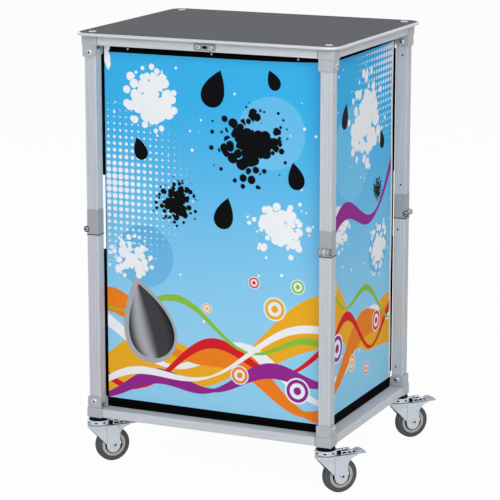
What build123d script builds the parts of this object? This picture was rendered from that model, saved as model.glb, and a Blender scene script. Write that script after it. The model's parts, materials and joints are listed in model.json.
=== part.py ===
from build123d import *
import os
from math import cos, radians, sin

# Portable serving station: a counter that folds flat, on four braked swivel casters.
# Millimetres, +Z up, front towards -Y. The origin is on the floor, midway between the four posts.
# The posts fold like a pinwheel: each one folds in the plane of its own side, towards the next corner.

# Driving dimensions of the frame
frame_width = 604.0
frame_depth = 492.0
frame_height = 878.0

# Corner brackets
block_size = 38.0
block_height = 22.0
block_corner = 3.0
lug_wall = 2.7
lug_clearance = 0.3
lug_reach = 10.0
lug_open_corner = 10.0
lug_back_corner = 3.0
spigot_length = 30.0
spigot_clearance = 0.1

# Rails
rail_depth = 34.0
rail_height = 20.0
rail_wall = 2.0
rail_corner = 1.5

# Posts: fluted square tubes
post_size = 28.0
post_wall = 2.0
post_corner = 2.0
flute_count = 3
flute_spacing = 7.0
flute_width = 2.2
flute_depth = 0.6
swing_clearance = 1.5

# Knee hinges, halfway up the posts
fold_gap = 2.4
split_drop = 11.5
split_gap = 0.8
sleeve_rise = 46.0
sleeve_proud = 0.2
flange_thickness = 3.0
plug_length = 30.0
plug_clearance = 0.1
barrel_radius = 7.0
barrel_clearance = 0.4
knuckle_count = 3
knuckle_gap = 0.3
hinge_pin_radius = 2.5
hinge_pin_seat_clearance = 0.02
hinge_pin_clearance = 0.06

# Pivot bolts in the lugs
bolt_radius = 4.0
bolt_seat_clearance = 0.05
bolt_clearance = 0.06
bolt_head_radius = 6.0
bolt_head_height = 3.0
bolt_head_corner = 1.5
bolt_head_gap = 0.1

# Casters
trail_angle = 50.0
trail = 34.0
wheel_diameter = 80.0
wheel_width = 20.0
wheel_side_gap = 3.0
crown_gap = 4.0
crown_thickness = 3.0
crown_radius = 23.5
dish_rise = 5.0
head_radius = 25.0
head_height = 11.0
head_wall = 2.5
head_gap = 1.0
collar_radius = 18.0
collar_height = 8.0
stem_radius = 6.0
stem_length = 18.0
stem_end_gap = 1.0
stem_clearance = 0.05
king_pin_radius = 5.0
king_pin_clearance = 0.05
king_pin_head_radius = 9.0
king_pin_head_height = 3.0
king_pin_head_gap = 0.5
bearing_gap = 0.3
fork_wall = 2.5
nose_reach = 24.0
nose_width = 18.0
nose_edge = 3.0
shin_rise = 2.5
fork_rear_reach = 38.0
boss_radius = 16.5
boss_lead = 2.7
boss_drop = 1.5
notch_radius = 25.0
notch_rise = 18.0
axle_radius = 4.0
axle_seat_clearance = 0.05
axle_clearance = 0.06
axle_head_radius = 5.0
axle_head_height = 2.5
axle_head_gap = 0.1
hub_boss_radius = 9.0
hub_boss_gap = 0.8
hub_web = 5.0
hub_rim_thickness = 8.7
hub_rim_width = 18.5
tyre_thickness = 11.5
tyre_seat_clearance = 0.05
tyre_shoulder = 5.0

# Brake pedals: each reach is measured backwards from the axle
pedal_pin_reach = 10.0
pedal_pin_drop = 3.0
pedal_pin_radius = 2.0
pedal_pin_clearance = 0.05
pedal_boss_radius = 4.0
pedal_side_gap = 2.0
pedal_thickness = 4.0
pedal_arm_drop = 2.2
pedal_slot_lead = 6.0
pedal_bend_reach = 36.0
pedal_crest_reach = 50.5
pedal_crest_rise = 8.8
pedal_tip_reach = 61.0
pedal_tip_rise = 1.7
pedal_tip_thickness = 2.0
shoe_reach = 21.0
shoe_length = 7.0
shoe_drop = 7.1

# Tabletop
top_overhang = 15.0
top_corner = 34.0
board_thickness = 7.0
board_gap = 0.2
rim_width = 6.0
rim_round = 4.0
rim_round_share = 0.45
top_screw_radius = 3.0
top_screw_clearance = 0.1
top_screw_length = 20.0
top_screw_end_gap = 1.0
top_screw_head_radius = 8.5
top_screw_head_height = 2.4
top_screw_head_gap = 0.1

# Catch plate on the front top rail
catch_width = 52.0
catch_height = 15.0
catch_thickness = 2.0
catch_corner = 3.0
catch_slot_width = 12.0
catch_slot_height = 6.0
catch_screw_spacing = 30.0
catch_screw_radius = 2.0
catch_screw_clearance = 0.05
catch_screw_length = 6.0
catch_screw_head_radius = 4.5
catch_screw_head_height = 2.2
catch_screw_head_gap = 0.1

# Sheets and the hook strips that hold them
sheet_thickness = 0.6
sheet_gap = 0.1
sheet_side_gap = 6.0
sheet_bottom_gap = 19.0
sheet_top_gap = 20.0
strip_thickness = 1.5
strip_inset = 2.0
strip_overlap = 12.0
strip_end_gap = 0.5

# Plan: posts stand at the middle of the corner blocks
post_half = post_size / 2
post_x = (frame_width - block_size) / 2
post_y = (frame_depth - block_size) / 2
lug_size = post_size + 2 * (lug_clearance + lug_wall)

# Levels, from the floor up
axle_z = wheel_diameter / 2
crown_bottom = wheel_diameter + crown_gap
plate_top = crown_bottom + crown_thickness
crown_top = plate_top + dish_rise
head_top = crown_top + head_height
base_bottom = head_top + collar_height
base_top = base_bottom + block_height
base_pivot_z = base_top + post_half + swing_clearance
top_top = base_bottom + frame_height
top_bottom = top_top - block_height
top_pivot_z = top_bottom - post_half - swing_clearance
knee_z = (base_pivot_z + top_pivot_z) / 2
split_z = knee_z - split_drop
sleeve_top = knee_z + sleeve_rise
base_rail_z = base_bottom + block_height / 2
top_rail_z = top_top - block_height / 2
board_top = top_top + board_thickness
sheet_bottom = base_rail_z + rail_height / 2 + sheet_bottom_gap
sheet_top = top_rail_z - rail_height / 2 - sheet_top_gap

# Knee hinge, in a corner's own frame: local X is the way the post folds, local Y points inwards
hinge_x = -(post_half + fold_gap / 2)
knuckle_width = post_size / knuckle_count
tongue_thickness = barrel_radius - fold_gap / 2
sleeve_size = post_size + 2 * sleeve_proud
post_bore = post_size - 2 * post_wall
plug_size = post_bore - 2 * plug_clearance

# Fork, in a caster's own frame: local X is the leading direction, and the wheel runs between two side walls
fork_half = wheel_width / 2 + wheel_side_gap + fork_wall
fork_inside = fork_half - fork_wall
fork_rear = trail + fork_rear_reach
boss_x = boss_lead - trail
boss_z = axle_z - boss_drop
shoulder_x = boss_x + boss_radius
hub_radius = wheel_diameter / 2 - tyre_thickness
pedal_pin_x = -trail - pedal_pin_reach
pedal_pin_z = plate_top - pedal_pin_drop
pedal_arm_z = plate_top - pedal_arm_drop
pedal_width = 2 * (fork_inside - pedal_side_gap)

# Corner name: its side of the centre in X and Y, and the way that its post folds
corners = {
    "front_left": ((-1, -1), (1, 0, 0)),
    "front_right": ((1, -1), (0, 1, 0)),
    "rear_right": ((1, 1), (-1, 0, 0)),
    "rear_left": ((-1, 1), (0, -1, 0)),
}
corner_origins = {name: (side[0] * post_x, side[1] * post_y, 0) for name, (side, _) in corners.items()}
corner_frames = {name: Plane(corner_origins[name], x_dir=fold) for name, (_, fold) in corners.items()}

# Caster frames: local X is the leading direction, so the wheel trails towards local -X
leading_direction = (-cos(radians(trail_angle)), -sin(radians(trail_angle)), 0)
caster_frames = {name: Plane(origin, x_dir=leading_direction) for name, origin in corner_origins.items()}

# Side name: frame at the middle of the side, local Y inwards, and the distance between its posts
sides = {
    "front": (Plane((0, -post_y, 0), x_dir=(1, 0, 0)), 2 * post_x),
    "right": (Plane((post_x, 0, 0), x_dir=(0, 1, 0)), 2 * post_y),
    "rear": (Plane((0, post_y, 0), x_dir=(-1, 0, 0)), 2 * post_x),
    "left": (Plane((-post_x, 0, 0), x_dir=(0, -1, 0)), 2 * post_y),
}
sheeted_sides = ("front", "right", "left")

# Round solids that stand on their place, or hang from it
standing = (Align.CENTER, Align.CENTER, Align.MIN)
hung = (Align.CENTER, Align.CENTER, Align.MAX)


def write_piece(piece, label):
    """Label a finished piece and write it."""
    piece.part.label = label
    export_step(piece.part, f"parts/{label}.step")


def write_at(template, frames, label):
    """Write one piece made of copies of a template, one in each frame."""
    with BuildPart() as placed:
        with Locations(*frames):
            add(template.part)
    write_piece(placed, label)


def cross_cylinder(x, z, radius, length, mode=Mode.ADD):
    """Put a cylinder along local Y, centred on Y = 0, at the given X and Z."""
    with Locations((x, 0, z)):
        Cylinder(radius, length, rotation=(90, 0, 0), mode=mode)


def corner_bracket(block_z, pivot_z, bore_radius, bore_depth):
    """Corner block with a U-shaped pivot lug and a spigot for each of its two rails.

    The lug is open on the side that the post folds to, and the bore runs in from the block's free face.
    """
    lug_side = 1 if pivot_z > block_z else -1
    lug_root = block_z + lug_side * block_height / 2
    lug_tip = pivot_z + lug_side * lug_reach
    lug_middle = (lug_root + lug_tip) / 2
    lug_height = abs(lug_tip - lug_root)
    free_face = block_z - lug_side * block_height / 2
    slot = post_size + 2 * lug_clearance
    with BuildPart() as bracket:
        with BuildSketch(Plane.XY.offset(block_z - block_height / 2)):
            RectangleRounded(block_size, block_size, block_corner)
        extrude(amount=block_height)
        with BuildSketch(Plane.XZ) as cheek:
            with Locations((0, lug_middle)):
                Rectangle(lug_size, lug_height)
            tip_corners = cheek.vertices().group_by(Axis.Y)[-1 if lug_side > 0 else 0].sort_by(Axis.X)
            fillet(tip_corners[-1], lug_open_corner)
            fillet(tip_corners[0], lug_back_corner)
        extrude(amount=lug_size / 2, both=True)
        with Locations((lug_clearance + lug_wall, 0, lug_middle)):
            Box(lug_size, slot, lug_height, mode=Mode.SUBTRACT)
        cross_cylinder(0, pivot_z, bolt_radius + bolt_seat_clearance, 2 * lug_size, mode=Mode.SUBTRACT)
        spigot_depth = rail_depth - 2 * (rail_wall + spigot_clearance)
        spigot_height = rail_height - 2 * (rail_wall + spigot_clearance)
        reach = block_size / 2 + spigot_length
        with Locations((reach / 2, 0, block_z)):
            Box(reach, spigot_depth, spigot_height)
        with Locations((0, reach / 2, block_z)):
            Box(spigot_depth, reach, spigot_height)
        with Locations((0, 0, free_face + lug_side * bore_depth / 2)):
            Cylinder(bore_radius, bore_depth, mode=Mode.SUBTRACT)
    return bracket


def rail(span, level):
    """Hollow rail between two corner blocks."""
    length = span - block_size
    with BuildPart() as tube:
        with BuildSketch(Plane.YZ.offset(-length / 2)):
            with Locations((0, level)):
                RectangleRounded(rail_depth, rail_height, rail_corner)
                Rectangle(rail_depth - 2 * rail_wall, rail_height - 2 * rail_wall, mode=Mode.SUBTRACT)
        extrude(amount=length)
    return tube


def post_tube(pivot_z, end_z):
    """Fluted square tube from its pivot, where the end is rounded, to a square end at the knee."""
    low = min(pivot_z - post_half, end_z)
    high = max(pivot_z + post_half, end_z)
    with BuildPart() as tube:
        with BuildSketch(Plane.XY.offset(low)):
            RectangleRounded(post_size, post_size, post_corner)
            Rectangle(post_bore, post_bore, mode=Mode.SUBTRACT)
            with PolarLocations(post_half, 4):
                with GridLocations(0, flute_spacing, 1, flute_count):
                    Rectangle(2 * flute_depth, flute_width, mode=Mode.SUBTRACT)
        extrude(amount=high - low)
        with BuildSketch(Plane.XZ):
            with Locations((0, pivot_z)):
                Circle(post_half)
            with Locations((0, (pivot_z + end_z) / 2)):
                Rectangle(2 * post_size, abs(end_z - pivot_z))
        extrude(amount=post_size, both=True, mode=Mode.INTERSECT)
        cross_cylinder(0, pivot_z, bolt_radius + bolt_clearance, 2 * post_size, mode=Mode.SUBTRACT)
    return tube


def pivot_bolt(pivot_z):
    """Pivot bolt through a lug, with a round head on each side."""
    head_y = lug_size / 2 + bolt_head_gap
    with BuildPart() as bolt:
        cross_cylinder(0, pivot_z, bolt_radius, 2 * head_y + bolt_head_height)
        for side in (-1, 1):
            with Locations((0, side * (head_y + bolt_head_height / 2), pivot_z)):
                Cylinder(bolt_head_radius, bolt_head_height, rotation=(90, 0, 0))
            outer_edges = bolt.edges().filter_by(GeomType.CIRCLE).sort_by(Axis.Y)
            fillet(outer_edges[-1] if side > 0 else outer_edges[0], bolt_head_corner)
    return bolt


os.makedirs("parts", exist_ok=True)

# Corner brackets: the base ones take the caster stems, the top ones the tabletop screws
stem_depth = stem_length + stem_end_gap
base_bracket = corner_bracket(base_rail_z, base_pivot_z, stem_radius + stem_clearance, stem_depth)
top_screw_depth = top_screw_length + top_screw_end_gap - board_thickness
top_bracket = corner_bracket(top_rail_z, top_pivot_z, top_screw_radius + top_screw_clearance, top_screw_depth)

# Post halves
lower_tube = post_tube(base_pivot_z, split_z - flange_thickness)
upper_tube = post_tube(top_pivot_z, sleeve_top)

# Knee fitting: a plug in the lower tube with the hinge's middle knuckle
with BuildPart() as knee_fitting:
    with Locations((0, 0, split_z - flange_thickness / 2)):
        Box(post_size, post_size, flange_thickness)
    with Locations((0, 0, split_z - flange_thickness - plug_length / 2)):
        Box(plug_size, plug_size, plug_length)
    with Locations((-post_half, 0, knee_z)):
        Box(tongue_thickness, knuckle_width, split_drop, align=(Align.MIN, Align.CENTER, Align.MAX))
    cross_cylinder(hinge_x, knee_z, barrel_radius, knuckle_width)
    cross_cylinder(hinge_x, knee_z, hinge_pin_radius + hinge_pin_clearance, post_size, mode=Mode.SUBTRACT)

# Knee sleeve: a casting under the upper tube with the hinge's outer knuckles, and the hinge pin
sleeve_bottom = split_z + split_gap
pocket_width = knuckle_width + 2 * knuckle_gap
pocket_radius = barrel_radius + barrel_clearance
with BuildPart() as knee_sleeve:
    with BuildSketch(Plane.XY.offset(sleeve_bottom)):
        RectangleRounded(sleeve_size, sleeve_size, post_corner)
    extrude(amount=sleeve_top - sleeve_bottom)
    with Locations((0, 0, sleeve_top + plug_length / 2)):
        Box(plug_size, plug_size, plug_length)
    cross_cylinder(hinge_x, knee_z, barrel_radius, sleeve_size)
    cross_cylinder(hinge_x, knee_z, pocket_radius, pocket_width, mode=Mode.SUBTRACT)
    with Locations((hinge_x, 0, knee_z - split_drop / 2)):
        Box(2 * pocket_radius, pocket_width, split_drop, mode=Mode.SUBTRACT)
    hinge_pin_seat = hinge_pin_radius + hinge_pin_seat_clearance
    cross_cylinder(hinge_x, knee_z, hinge_pin_seat, 2 * post_size, mode=Mode.SUBTRACT)
    cross_cylinder(hinge_x, knee_z, hinge_pin_radius, sleeve_size)

# Caster head: stem in the base block, dark collar, race cap and king pin, with a ring bearing under the cap
head_bottom = crown_top + head_gap
king_pin_bottom = crown_bottom - king_pin_head_gap
bearing_thickness = head_height - head_wall - 2 * bearing_gap
bearing_ring_radius = head_radius - head_wall - bearing_gap - bearing_thickness / 2
with BuildPart() as caster_head:
    with Locations((0, 0, head_bottom)):
        Cylinder(head_radius, head_top - head_bottom, align=standing)
        Cylinder(
            head_radius - head_wall,
            head_top - head_bottom - head_wall,
            align=standing,
            mode=Mode.SUBTRACT,
        )
    fillet(caster_head.edges().filter_by(GeomType.CIRCLE).group_by(Axis.Z)[-1], head_wall / 2)
    with Locations((0, 0, head_top)):
        Cylinder(collar_radius, collar_height, align=standing)
    with Locations((0, 0, base_bottom)):
        Cylinder(stem_radius, stem_length, align=standing)
    with Locations((0, 0, king_pin_bottom)):
        Cylinder(king_pin_head_radius, king_pin_head_height, align=hung)
        Cylinder(king_pin_radius, head_top - king_pin_bottom, align=standing)
    with Locations((0, 0, crown_top + bearing_gap + bearing_thickness / 2)):
        Torus(bearing_ring_radius, bearing_thickness / 2)

# Fork: a pressed shell with a pointed nose and two legs, with a round dish on its plate and the wheel's axle
nose_low = plate_top - nose_edge
fork_low = boss_z - boss_radius
plan_rear = fork_rear + 2 * fork_wall
with BuildPart() as fork:
    with BuildSketch(Plane.XY.offset(fork_low)) as fork_plan:
        with BuildLine():
            Polyline(
                (nose_reach, nose_width / 2),
                (shoulder_x, fork_half),
                (-plan_rear, fork_half),
                (-plan_rear, -fork_half),
                (shoulder_x, -fork_half),
                (nose_reach, -nose_width / 2),
                close=True,
            )
        make_face()
    extrude(amount=plate_top - fork_low)
    with BuildSketch(Plane.XY.offset(fork_low)):
        add(fork_plan.sketch)
        offset(amount=-fork_wall, mode=Mode.REPLACE)
    extrude(amount=crown_bottom - fork_low, mode=Mode.SUBTRACT)
    with BuildSketch(Plane.XZ):
        with BuildLine():
            Polyline(
                (nose_reach, plate_top),
                (nose_reach, nose_low),
                (shoulder_x, axle_z + shin_rise),
                (shoulder_x, boss_z),
                (boss_x - boss_radius, boss_z),
                (-fork_rear, crown_bottom),
                (-fork_rear, plate_top),
                close=True,
            )
        make_face()
        with Locations((-fork_rear, axle_z + notch_rise)):
            Circle(notch_radius, mode=Mode.SUBTRACT)
        with Locations((boss_x, boss_z)):
            Circle(boss_radius)
    extrude(amount=2 * fork_half, both=True, mode=Mode.INTERSECT)
    with Locations((pedal_slot_lead - trail, 0, plate_top)):
        Box(
            plan_rear,
            2 * fork_inside,
            4 * crown_thickness,
            align=(Align.MAX, Align.CENTER, Align.CENTER),
            mode=Mode.SUBTRACT,
        )
    crown_height = crown_top - crown_bottom
    with Locations((0, 0, crown_bottom)):
        Cylinder(crown_radius, crown_height, align=standing)
        Cylinder(king_pin_radius + king_pin_clearance, crown_height, align=standing, mode=Mode.SUBTRACT)
    cross_cylinder(-trail, axle_z, axle_radius + axle_seat_clearance, 4 * fork_half, mode=Mode.SUBTRACT)
    cross_cylinder(
        pedal_pin_x, pedal_pin_z, pedal_pin_radius + pedal_pin_clearance, 4 * fork_half, mode=Mode.SUBTRACT
    )
    axle_head_y = fork_half + axle_head_gap
    cross_cylinder(-trail, axle_z, axle_radius, 2 * axle_head_y + axle_head_height)
    for side in (-1, 1):
        with Locations((-trail, side * (axle_head_y + axle_head_height / 2), axle_z)):
            Cylinder(axle_head_radius, axle_head_height, rotation=(90, 0, 0))

# Wheel: a hub that runs on the axle, and a tyre on its rim
axle_axis = Axis((-trail, 0, axle_z), (0, 1, 0))
hub_boss_half = fork_inside - hub_boss_gap
wheel_plane = Plane((-trail, 0, axle_z))
with BuildPart() as hub:
    with BuildSketch(wheel_plane):
        for inner, outer, width in (
            (axle_radius + axle_clearance, hub_boss_radius, 2 * hub_boss_half),
            (axle_radius + axle_clearance, hub_radius, hub_web),
            (hub_radius - hub_rim_thickness, hub_radius, hub_rim_width),
        ):
            with Locations(((inner + outer) / 2, 0)):
                Rectangle(outer - inner, width)
    revolve(axis=axle_axis)
tyre_inside = hub_radius + tyre_seat_clearance
with BuildPart() as tyre:
    with BuildSketch(wheel_plane) as tyre_section:
        with Locations(((tyre_inside + wheel_diameter / 2) / 2, 0)):
            Rectangle(wheel_diameter / 2 - tyre_inside, wheel_width)
        fillet(tyre_section.vertices().group_by(Axis.X)[-1], min(tyre_shoulder, tyre_thickness / 2))
    revolve(axis=axle_axis)

# Brake pedal: an arm on a pin between the fork's walls, with a foot plate behind and a shoe over the tyre
arm_top = pedal_arm_z + pedal_thickness
crest_top = pedal_arm_z + pedal_crest_rise
tip_top = pedal_arm_z + pedal_tip_rise
bend_x = -trail - pedal_bend_reach
crest_x = -trail - pedal_crest_reach
tip_x = -trail - pedal_tip_reach
with BuildPart() as pedal:
    with BuildSketch(Plane.XZ):
        with BuildLine():
            Polyline((bend_x, pedal_arm_z), (-trail, pedal_arm_z), (-trail, arm_top), (bend_x, arm_top))
            ThreePointArc((bend_x, arm_top), (crest_x, crest_top), (tip_x, tip_top))
            Polyline((tip_x, tip_top), (tip_x, tip_top - pedal_tip_thickness), (bend_x, pedal_arm_z))
        make_face()
        with Locations((-trail - shoe_reach, pedal_arm_z - shoe_drop)):
            Rectangle(shoe_length, shoe_drop + pedal_thickness, align=(Align.MAX, Align.MIN))
        with Locations((pedal_pin_x, pedal_pin_z)):
            Circle(pedal_boss_radius)
    extrude(amount=pedal_width / 2, both=True)
    cross_cylinder(pedal_pin_x, pedal_pin_z, pedal_pin_radius, 2 * fork_half)

# Pieces that stand at every corner
corner_pieces = {
    "base_bracket": base_bracket,
    "top_bracket": top_bracket,
    "lower_tube": lower_tube,
    "upper_tube": upper_tube,
    "knee_fitting": knee_fitting,
    "knee_sleeve": knee_sleeve,
}
caster_pieces = {"fork": fork, "hub": hub, "tyre": tyre, "pedal": pedal}
for corner in corners:
    for name, template in corner_pieces.items():
        write_at(template, [corner_frames[corner]], f"{name}_{corner}")
    for name, template in caster_pieces.items():
        write_at(template, [caster_frames[corner]], f"{name}_{corner}")
write_at(pivot_bolt(base_pivot_z), corner_frames.values(), "base_pivot_bolts")
write_at(pivot_bolt(top_pivot_z), corner_frames.values(), "top_pivot_bolts")
write_at(caster_head, caster_frames.values(), "caster_heads")

# Rails: the front top rail has holes for the catch plate's screws
catch_face = -rail_depth / 2
for side, (frame, span) in sides.items():
    write_at(rail(span, base_rail_z), [frame], f"base_rail_{side}")
    if side != "front":
        write_at(rail(span, top_rail_z), [frame], f"top_rail_{side}")
with BuildPart() as top_rail_front:
    front_frame, front_span = sides["front"]
    with Locations(front_frame):
        add(rail(front_span, top_rail_z).part)
        with Locations((0, catch_face, top_rail_z)):
            with GridLocations(catch_screw_spacing, 0, 2, 1):
                Cylinder(
                    catch_screw_radius + catch_screw_clearance,
                    4 * rail_wall,
                    rotation=(90, 0, 0),
                    mode=Mode.SUBTRACT,
                )
write_piece(top_rail_front, "top_rail_front")

# Catch plate: a plate with a slot, held on the rail's face by two screws
catch_front = catch_face - catch_thickness
with BuildPart() as catch_plate:
    with BuildSketch(Plane.XZ.offset(-catch_face)):
        with Locations((0, top_rail_z)):
            RectangleRounded(catch_width, catch_height, catch_corner)
            SlotOverall(catch_slot_width, catch_slot_height, mode=Mode.SUBTRACT)
            with GridLocations(catch_screw_spacing, 0, 2, 1):
                Circle(catch_screw_radius + catch_screw_clearance, mode=Mode.SUBTRACT)
    extrude(amount=catch_thickness)
    with BuildSketch(Plane.XZ.offset(catch_screw_head_gap - catch_front)):
        with Locations((0, top_rail_z)):
            with GridLocations(catch_screw_spacing, 0, 2, 1):
                Circle(catch_screw_head_radius)
    extrude(amount=catch_screw_head_height)
    with BuildSketch(Plane.XZ.offset(catch_screw_head_gap - catch_front)):
        with Locations((0, top_rail_z)):
            with GridLocations(catch_screw_spacing, 0, 2, 1):
                Circle(catch_screw_radius)
    extrude(amount=-catch_screw_length)
write_at(catch_plate, [sides["front"][0]], "catch_plate")

# Hook strips on the rails' inner faces, and the sheets in front of them
strip_y = (rail_depth + strip_thickness) / 2
base_strip_low = base_rail_z - rail_height / 2 + strip_inset
base_strip_high = sheet_bottom + strip_overlap
top_strip_low = sheet_top - strip_overlap
top_strip_high = top_rail_z + rail_height / 2 - strip_inset
for label, low, high in (
    ("base_hook_strips", base_strip_low, base_strip_high),
    ("top_hook_strips", top_strip_low, top_strip_high),
):
    with BuildPart() as strips:
        for side in sheeted_sides:
            frame, span = sides[side]
            with Locations(frame):
                with Locations((0, strip_y, (low + high) / 2)):
                    Box(span - block_size - 2 * strip_end_gap, strip_thickness, high - low)
    write_piece(strips, label)
sheet_y = rail_depth / 2 - sheet_gap - sheet_thickness / 2
for side in sheeted_sides:
    frame, span = sides[side]
    with BuildPart() as sheet:
        with Locations(frame):
            with Locations((0, sheet_y, (sheet_bottom + sheet_top) / 2)):
                Box(span - post_size - 2 * sheet_side_gap, sheet_thickness, sheet_top - sheet_bottom)
    write_piece(sheet, f"{side}_sheet")

# Tabletop: a board inside an edge rim, screwed to the top corner blocks
table_width = frame_width + 2 * top_overhang
table_depth = frame_depth + 2 * top_overhang
board_inset = rim_width + board_gap
with BuildPart() as tabletop_board:
    with BuildSketch(Plane.XY.offset(top_top)):
        RectangleRounded(
            table_width - 2 * board_inset, table_depth - 2 * board_inset, top_corner - board_inset
        )
    extrude(amount=board_thickness)
    with Locations((0, 0, board_top)):
        with GridLocations(2 * post_x, 2 * post_y, 2, 2):
            CounterBoreHole(
                top_screw_radius + top_screw_clearance,
                top_screw_head_radius + top_screw_clearance,
                top_screw_head_height + top_screw_head_gap,
            )
write_piece(tabletop_board, "tabletop_board")

with BuildPart() as tabletop_rim:
    with BuildSketch(Plane.XY.offset(top_top)):
        RectangleRounded(table_width, table_depth, top_corner)
        RectangleRounded(
            table_width - 2 * rim_width,
            table_depth - 2 * rim_width,
            top_corner - rim_width,
            mode=Mode.SUBTRACT,
        )
    extrude(amount=board_thickness)
    outer_loops = [face.outer_wire() for face in tabletop_rim.faces().filter_by(Axis.Z)]
    outer_edges = [edge for loop in outer_loops for edge in loop.edges()]
    fillet(outer_edges, min(rim_round, rim_round_share * board_thickness))
write_piece(tabletop_rim, "tabletop_rim")

with BuildPart() as tabletop_screws:
    with GridLocations(2 * post_x, 2 * post_y, 2, 2):
        with Locations((0, 0, board_top)):
            Cylinder(top_screw_head_radius, top_screw_head_height, align=hung)
            Cylinder(top_screw_radius, top_screw_length, align=hung)
write_piece(tabletop_screws, "tabletop_screws")
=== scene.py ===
"""Looks of a portable serving station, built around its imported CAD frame.

The frame is in metres, +Z up, with the front towards -Y. Pieces are drawn in millimetres in the frame of
the corner, side or caster that carries them, and each one rides on that CAD body.
"""
import json
import logging
import math
from dataclasses import dataclass
from enum import Enum
from typing import Callable, Iterable, Optional, Sequence, Union

import bpy
from mathutils import Matrix, Vector

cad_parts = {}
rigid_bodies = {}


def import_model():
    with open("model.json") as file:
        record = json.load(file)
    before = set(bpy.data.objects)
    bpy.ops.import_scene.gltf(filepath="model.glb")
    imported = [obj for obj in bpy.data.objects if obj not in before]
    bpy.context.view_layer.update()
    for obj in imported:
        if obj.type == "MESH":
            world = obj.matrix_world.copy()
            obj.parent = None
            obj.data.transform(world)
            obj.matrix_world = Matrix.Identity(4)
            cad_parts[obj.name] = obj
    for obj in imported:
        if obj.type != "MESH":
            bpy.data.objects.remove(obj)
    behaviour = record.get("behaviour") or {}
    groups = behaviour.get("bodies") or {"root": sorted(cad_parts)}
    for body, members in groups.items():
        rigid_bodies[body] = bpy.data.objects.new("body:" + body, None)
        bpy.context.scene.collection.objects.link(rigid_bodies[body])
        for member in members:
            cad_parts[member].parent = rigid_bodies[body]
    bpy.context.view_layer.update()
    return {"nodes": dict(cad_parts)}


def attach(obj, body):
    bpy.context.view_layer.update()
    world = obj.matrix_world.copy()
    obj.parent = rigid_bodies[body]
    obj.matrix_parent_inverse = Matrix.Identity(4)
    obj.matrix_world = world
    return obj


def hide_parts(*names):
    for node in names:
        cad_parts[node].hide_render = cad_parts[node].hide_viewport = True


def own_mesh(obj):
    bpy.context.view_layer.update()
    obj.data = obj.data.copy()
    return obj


for leftover in list(bpy.data.objects):
    bpy.data.objects.remove(leftover)
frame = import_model()

# A millimetre in the frame's metres
MM = 0.001
# The posts' distance from the middle, across and in depth, in millimetres
POST_X = 283.0
POST_Y = 227.0
# The gap between a trim piece and what it sits on, in millimetres
CLEARANCE = 0.05
# Faces that meet at more than this many degrees keep a sharp edge
SHARP_ANGLE = 38.0
# How strong each finer layer of noise is beside the one before it
FINER_LAYERS = 0.55
# Half the width of a cross recess's arm, as a share of its length from the middle
CROSS_ARM = 0.3
# How many ribs a collar has, and how far they stand out as a share of its radius
RIBS = 24
RIB_DEPTH = 0.022
LOG = logging.getLogger("serving_station")
Pair = tuple[float, float]
Triple = tuple[float, float, float]
Colour = tuple[float, float, float, float]
Socket = bpy.types.NodeSocket
FULL_WHITE: Colour = (1.0, 1.0, 1.0, 1.0)


def display(red: float, green: float, blue: float) -> Colour:
    """Return the linear colour of an 8-bit display colour.

    Args:
        red: The display's red, from 0 to 255.
        green: Its green.
        blue: Its blue.

    Returns:
        The opaque colour in linear light.
    """
    def linear(value: float) -> float:
        """Return one channel's linear light."""
        share = value / 255
        return share / 12.92 if share <= 0.04045 else ((share + 0.055) / 1.055) ** 2.4

    return (linear(red), linear(green), linear(blue), 1.0)


def shade(colour: Colour, factor: float) -> Colour:
    """Return a colour made lighter or darker by a factor."""
    return (colour[0] * factor, colour[1] * factor, colour[2] * factor, 1.0)


# Frames that pieces are drawn in


def upright(x: float, y: float, direction: Pair) -> Matrix:
    """Return a frame in millimetres with its local X along a direction in plan.

    Args:
        x: Place of the frame's origin in X, in millimetres.
        y: Place of the frame's origin in Y, in millimetres.
        direction: The local X axis in plan, of length one.

    Returns:
        The matrix from local millimetres to metres in the row frame.
    """
    ahead = Vector((direction[0], direction[1], 0))
    inward = Vector((-direction[1], direction[0], 0))
    turn = Matrix((ahead, inward, Vector((0, 0, 1)))).transposed().to_4x4()
    return Matrix.Scale(MM, 4) @ Matrix.Translation((x, y, 0)) @ turn


def along_y(place: Matrix, x: float, y: float, z: float, outward: int) -> Matrix:
    """Return a frame whose local Z runs along the given frame's local Y, outwards or inwards.

    Args:
        place: The frame that the point is given in.
        x: The point's local X.
        y: The point's local Y.
        z: The point's local Z.
        outward: 1 to point along local Y, -1 against it.

    Returns:
        The frame at the point.
    """
    return place @ Matrix.Translation((x, y, z)) @ Matrix.Rotation(-outward * math.pi / 2, 4, "X")


class Corner(Enum):
    """A corner of the frame, with its side of the centre and the way that its post folds."""

    FRONT_LEFT = ("front_left", -1, -1, (1.0, 0.0))
    FRONT_RIGHT = ("front_right", 1, -1, (0.0, 1.0))
    REAR_RIGHT = ("rear_right", 1, 1, (-1.0, 0.0))
    REAR_LEFT = ("rear_left", -1, 1, (0.0, -1.0))

    def __init__(self, label: str, side_x: int, side_y: int, fold: Pair) -> None:
        """Keep the corner's name, side and fold direction.

        Args:
            label: The corner's name.
            side_x: 1 on the right, -1 on the left.
            side_y: 1 at the rear, -1 at the front.
            fold: The way that its post folds, in plan.
        """
        self.label = label
        self.centre = (side_x * POST_X, side_y * POST_Y)
        self.place = upright(*self.centre, fold)


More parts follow.
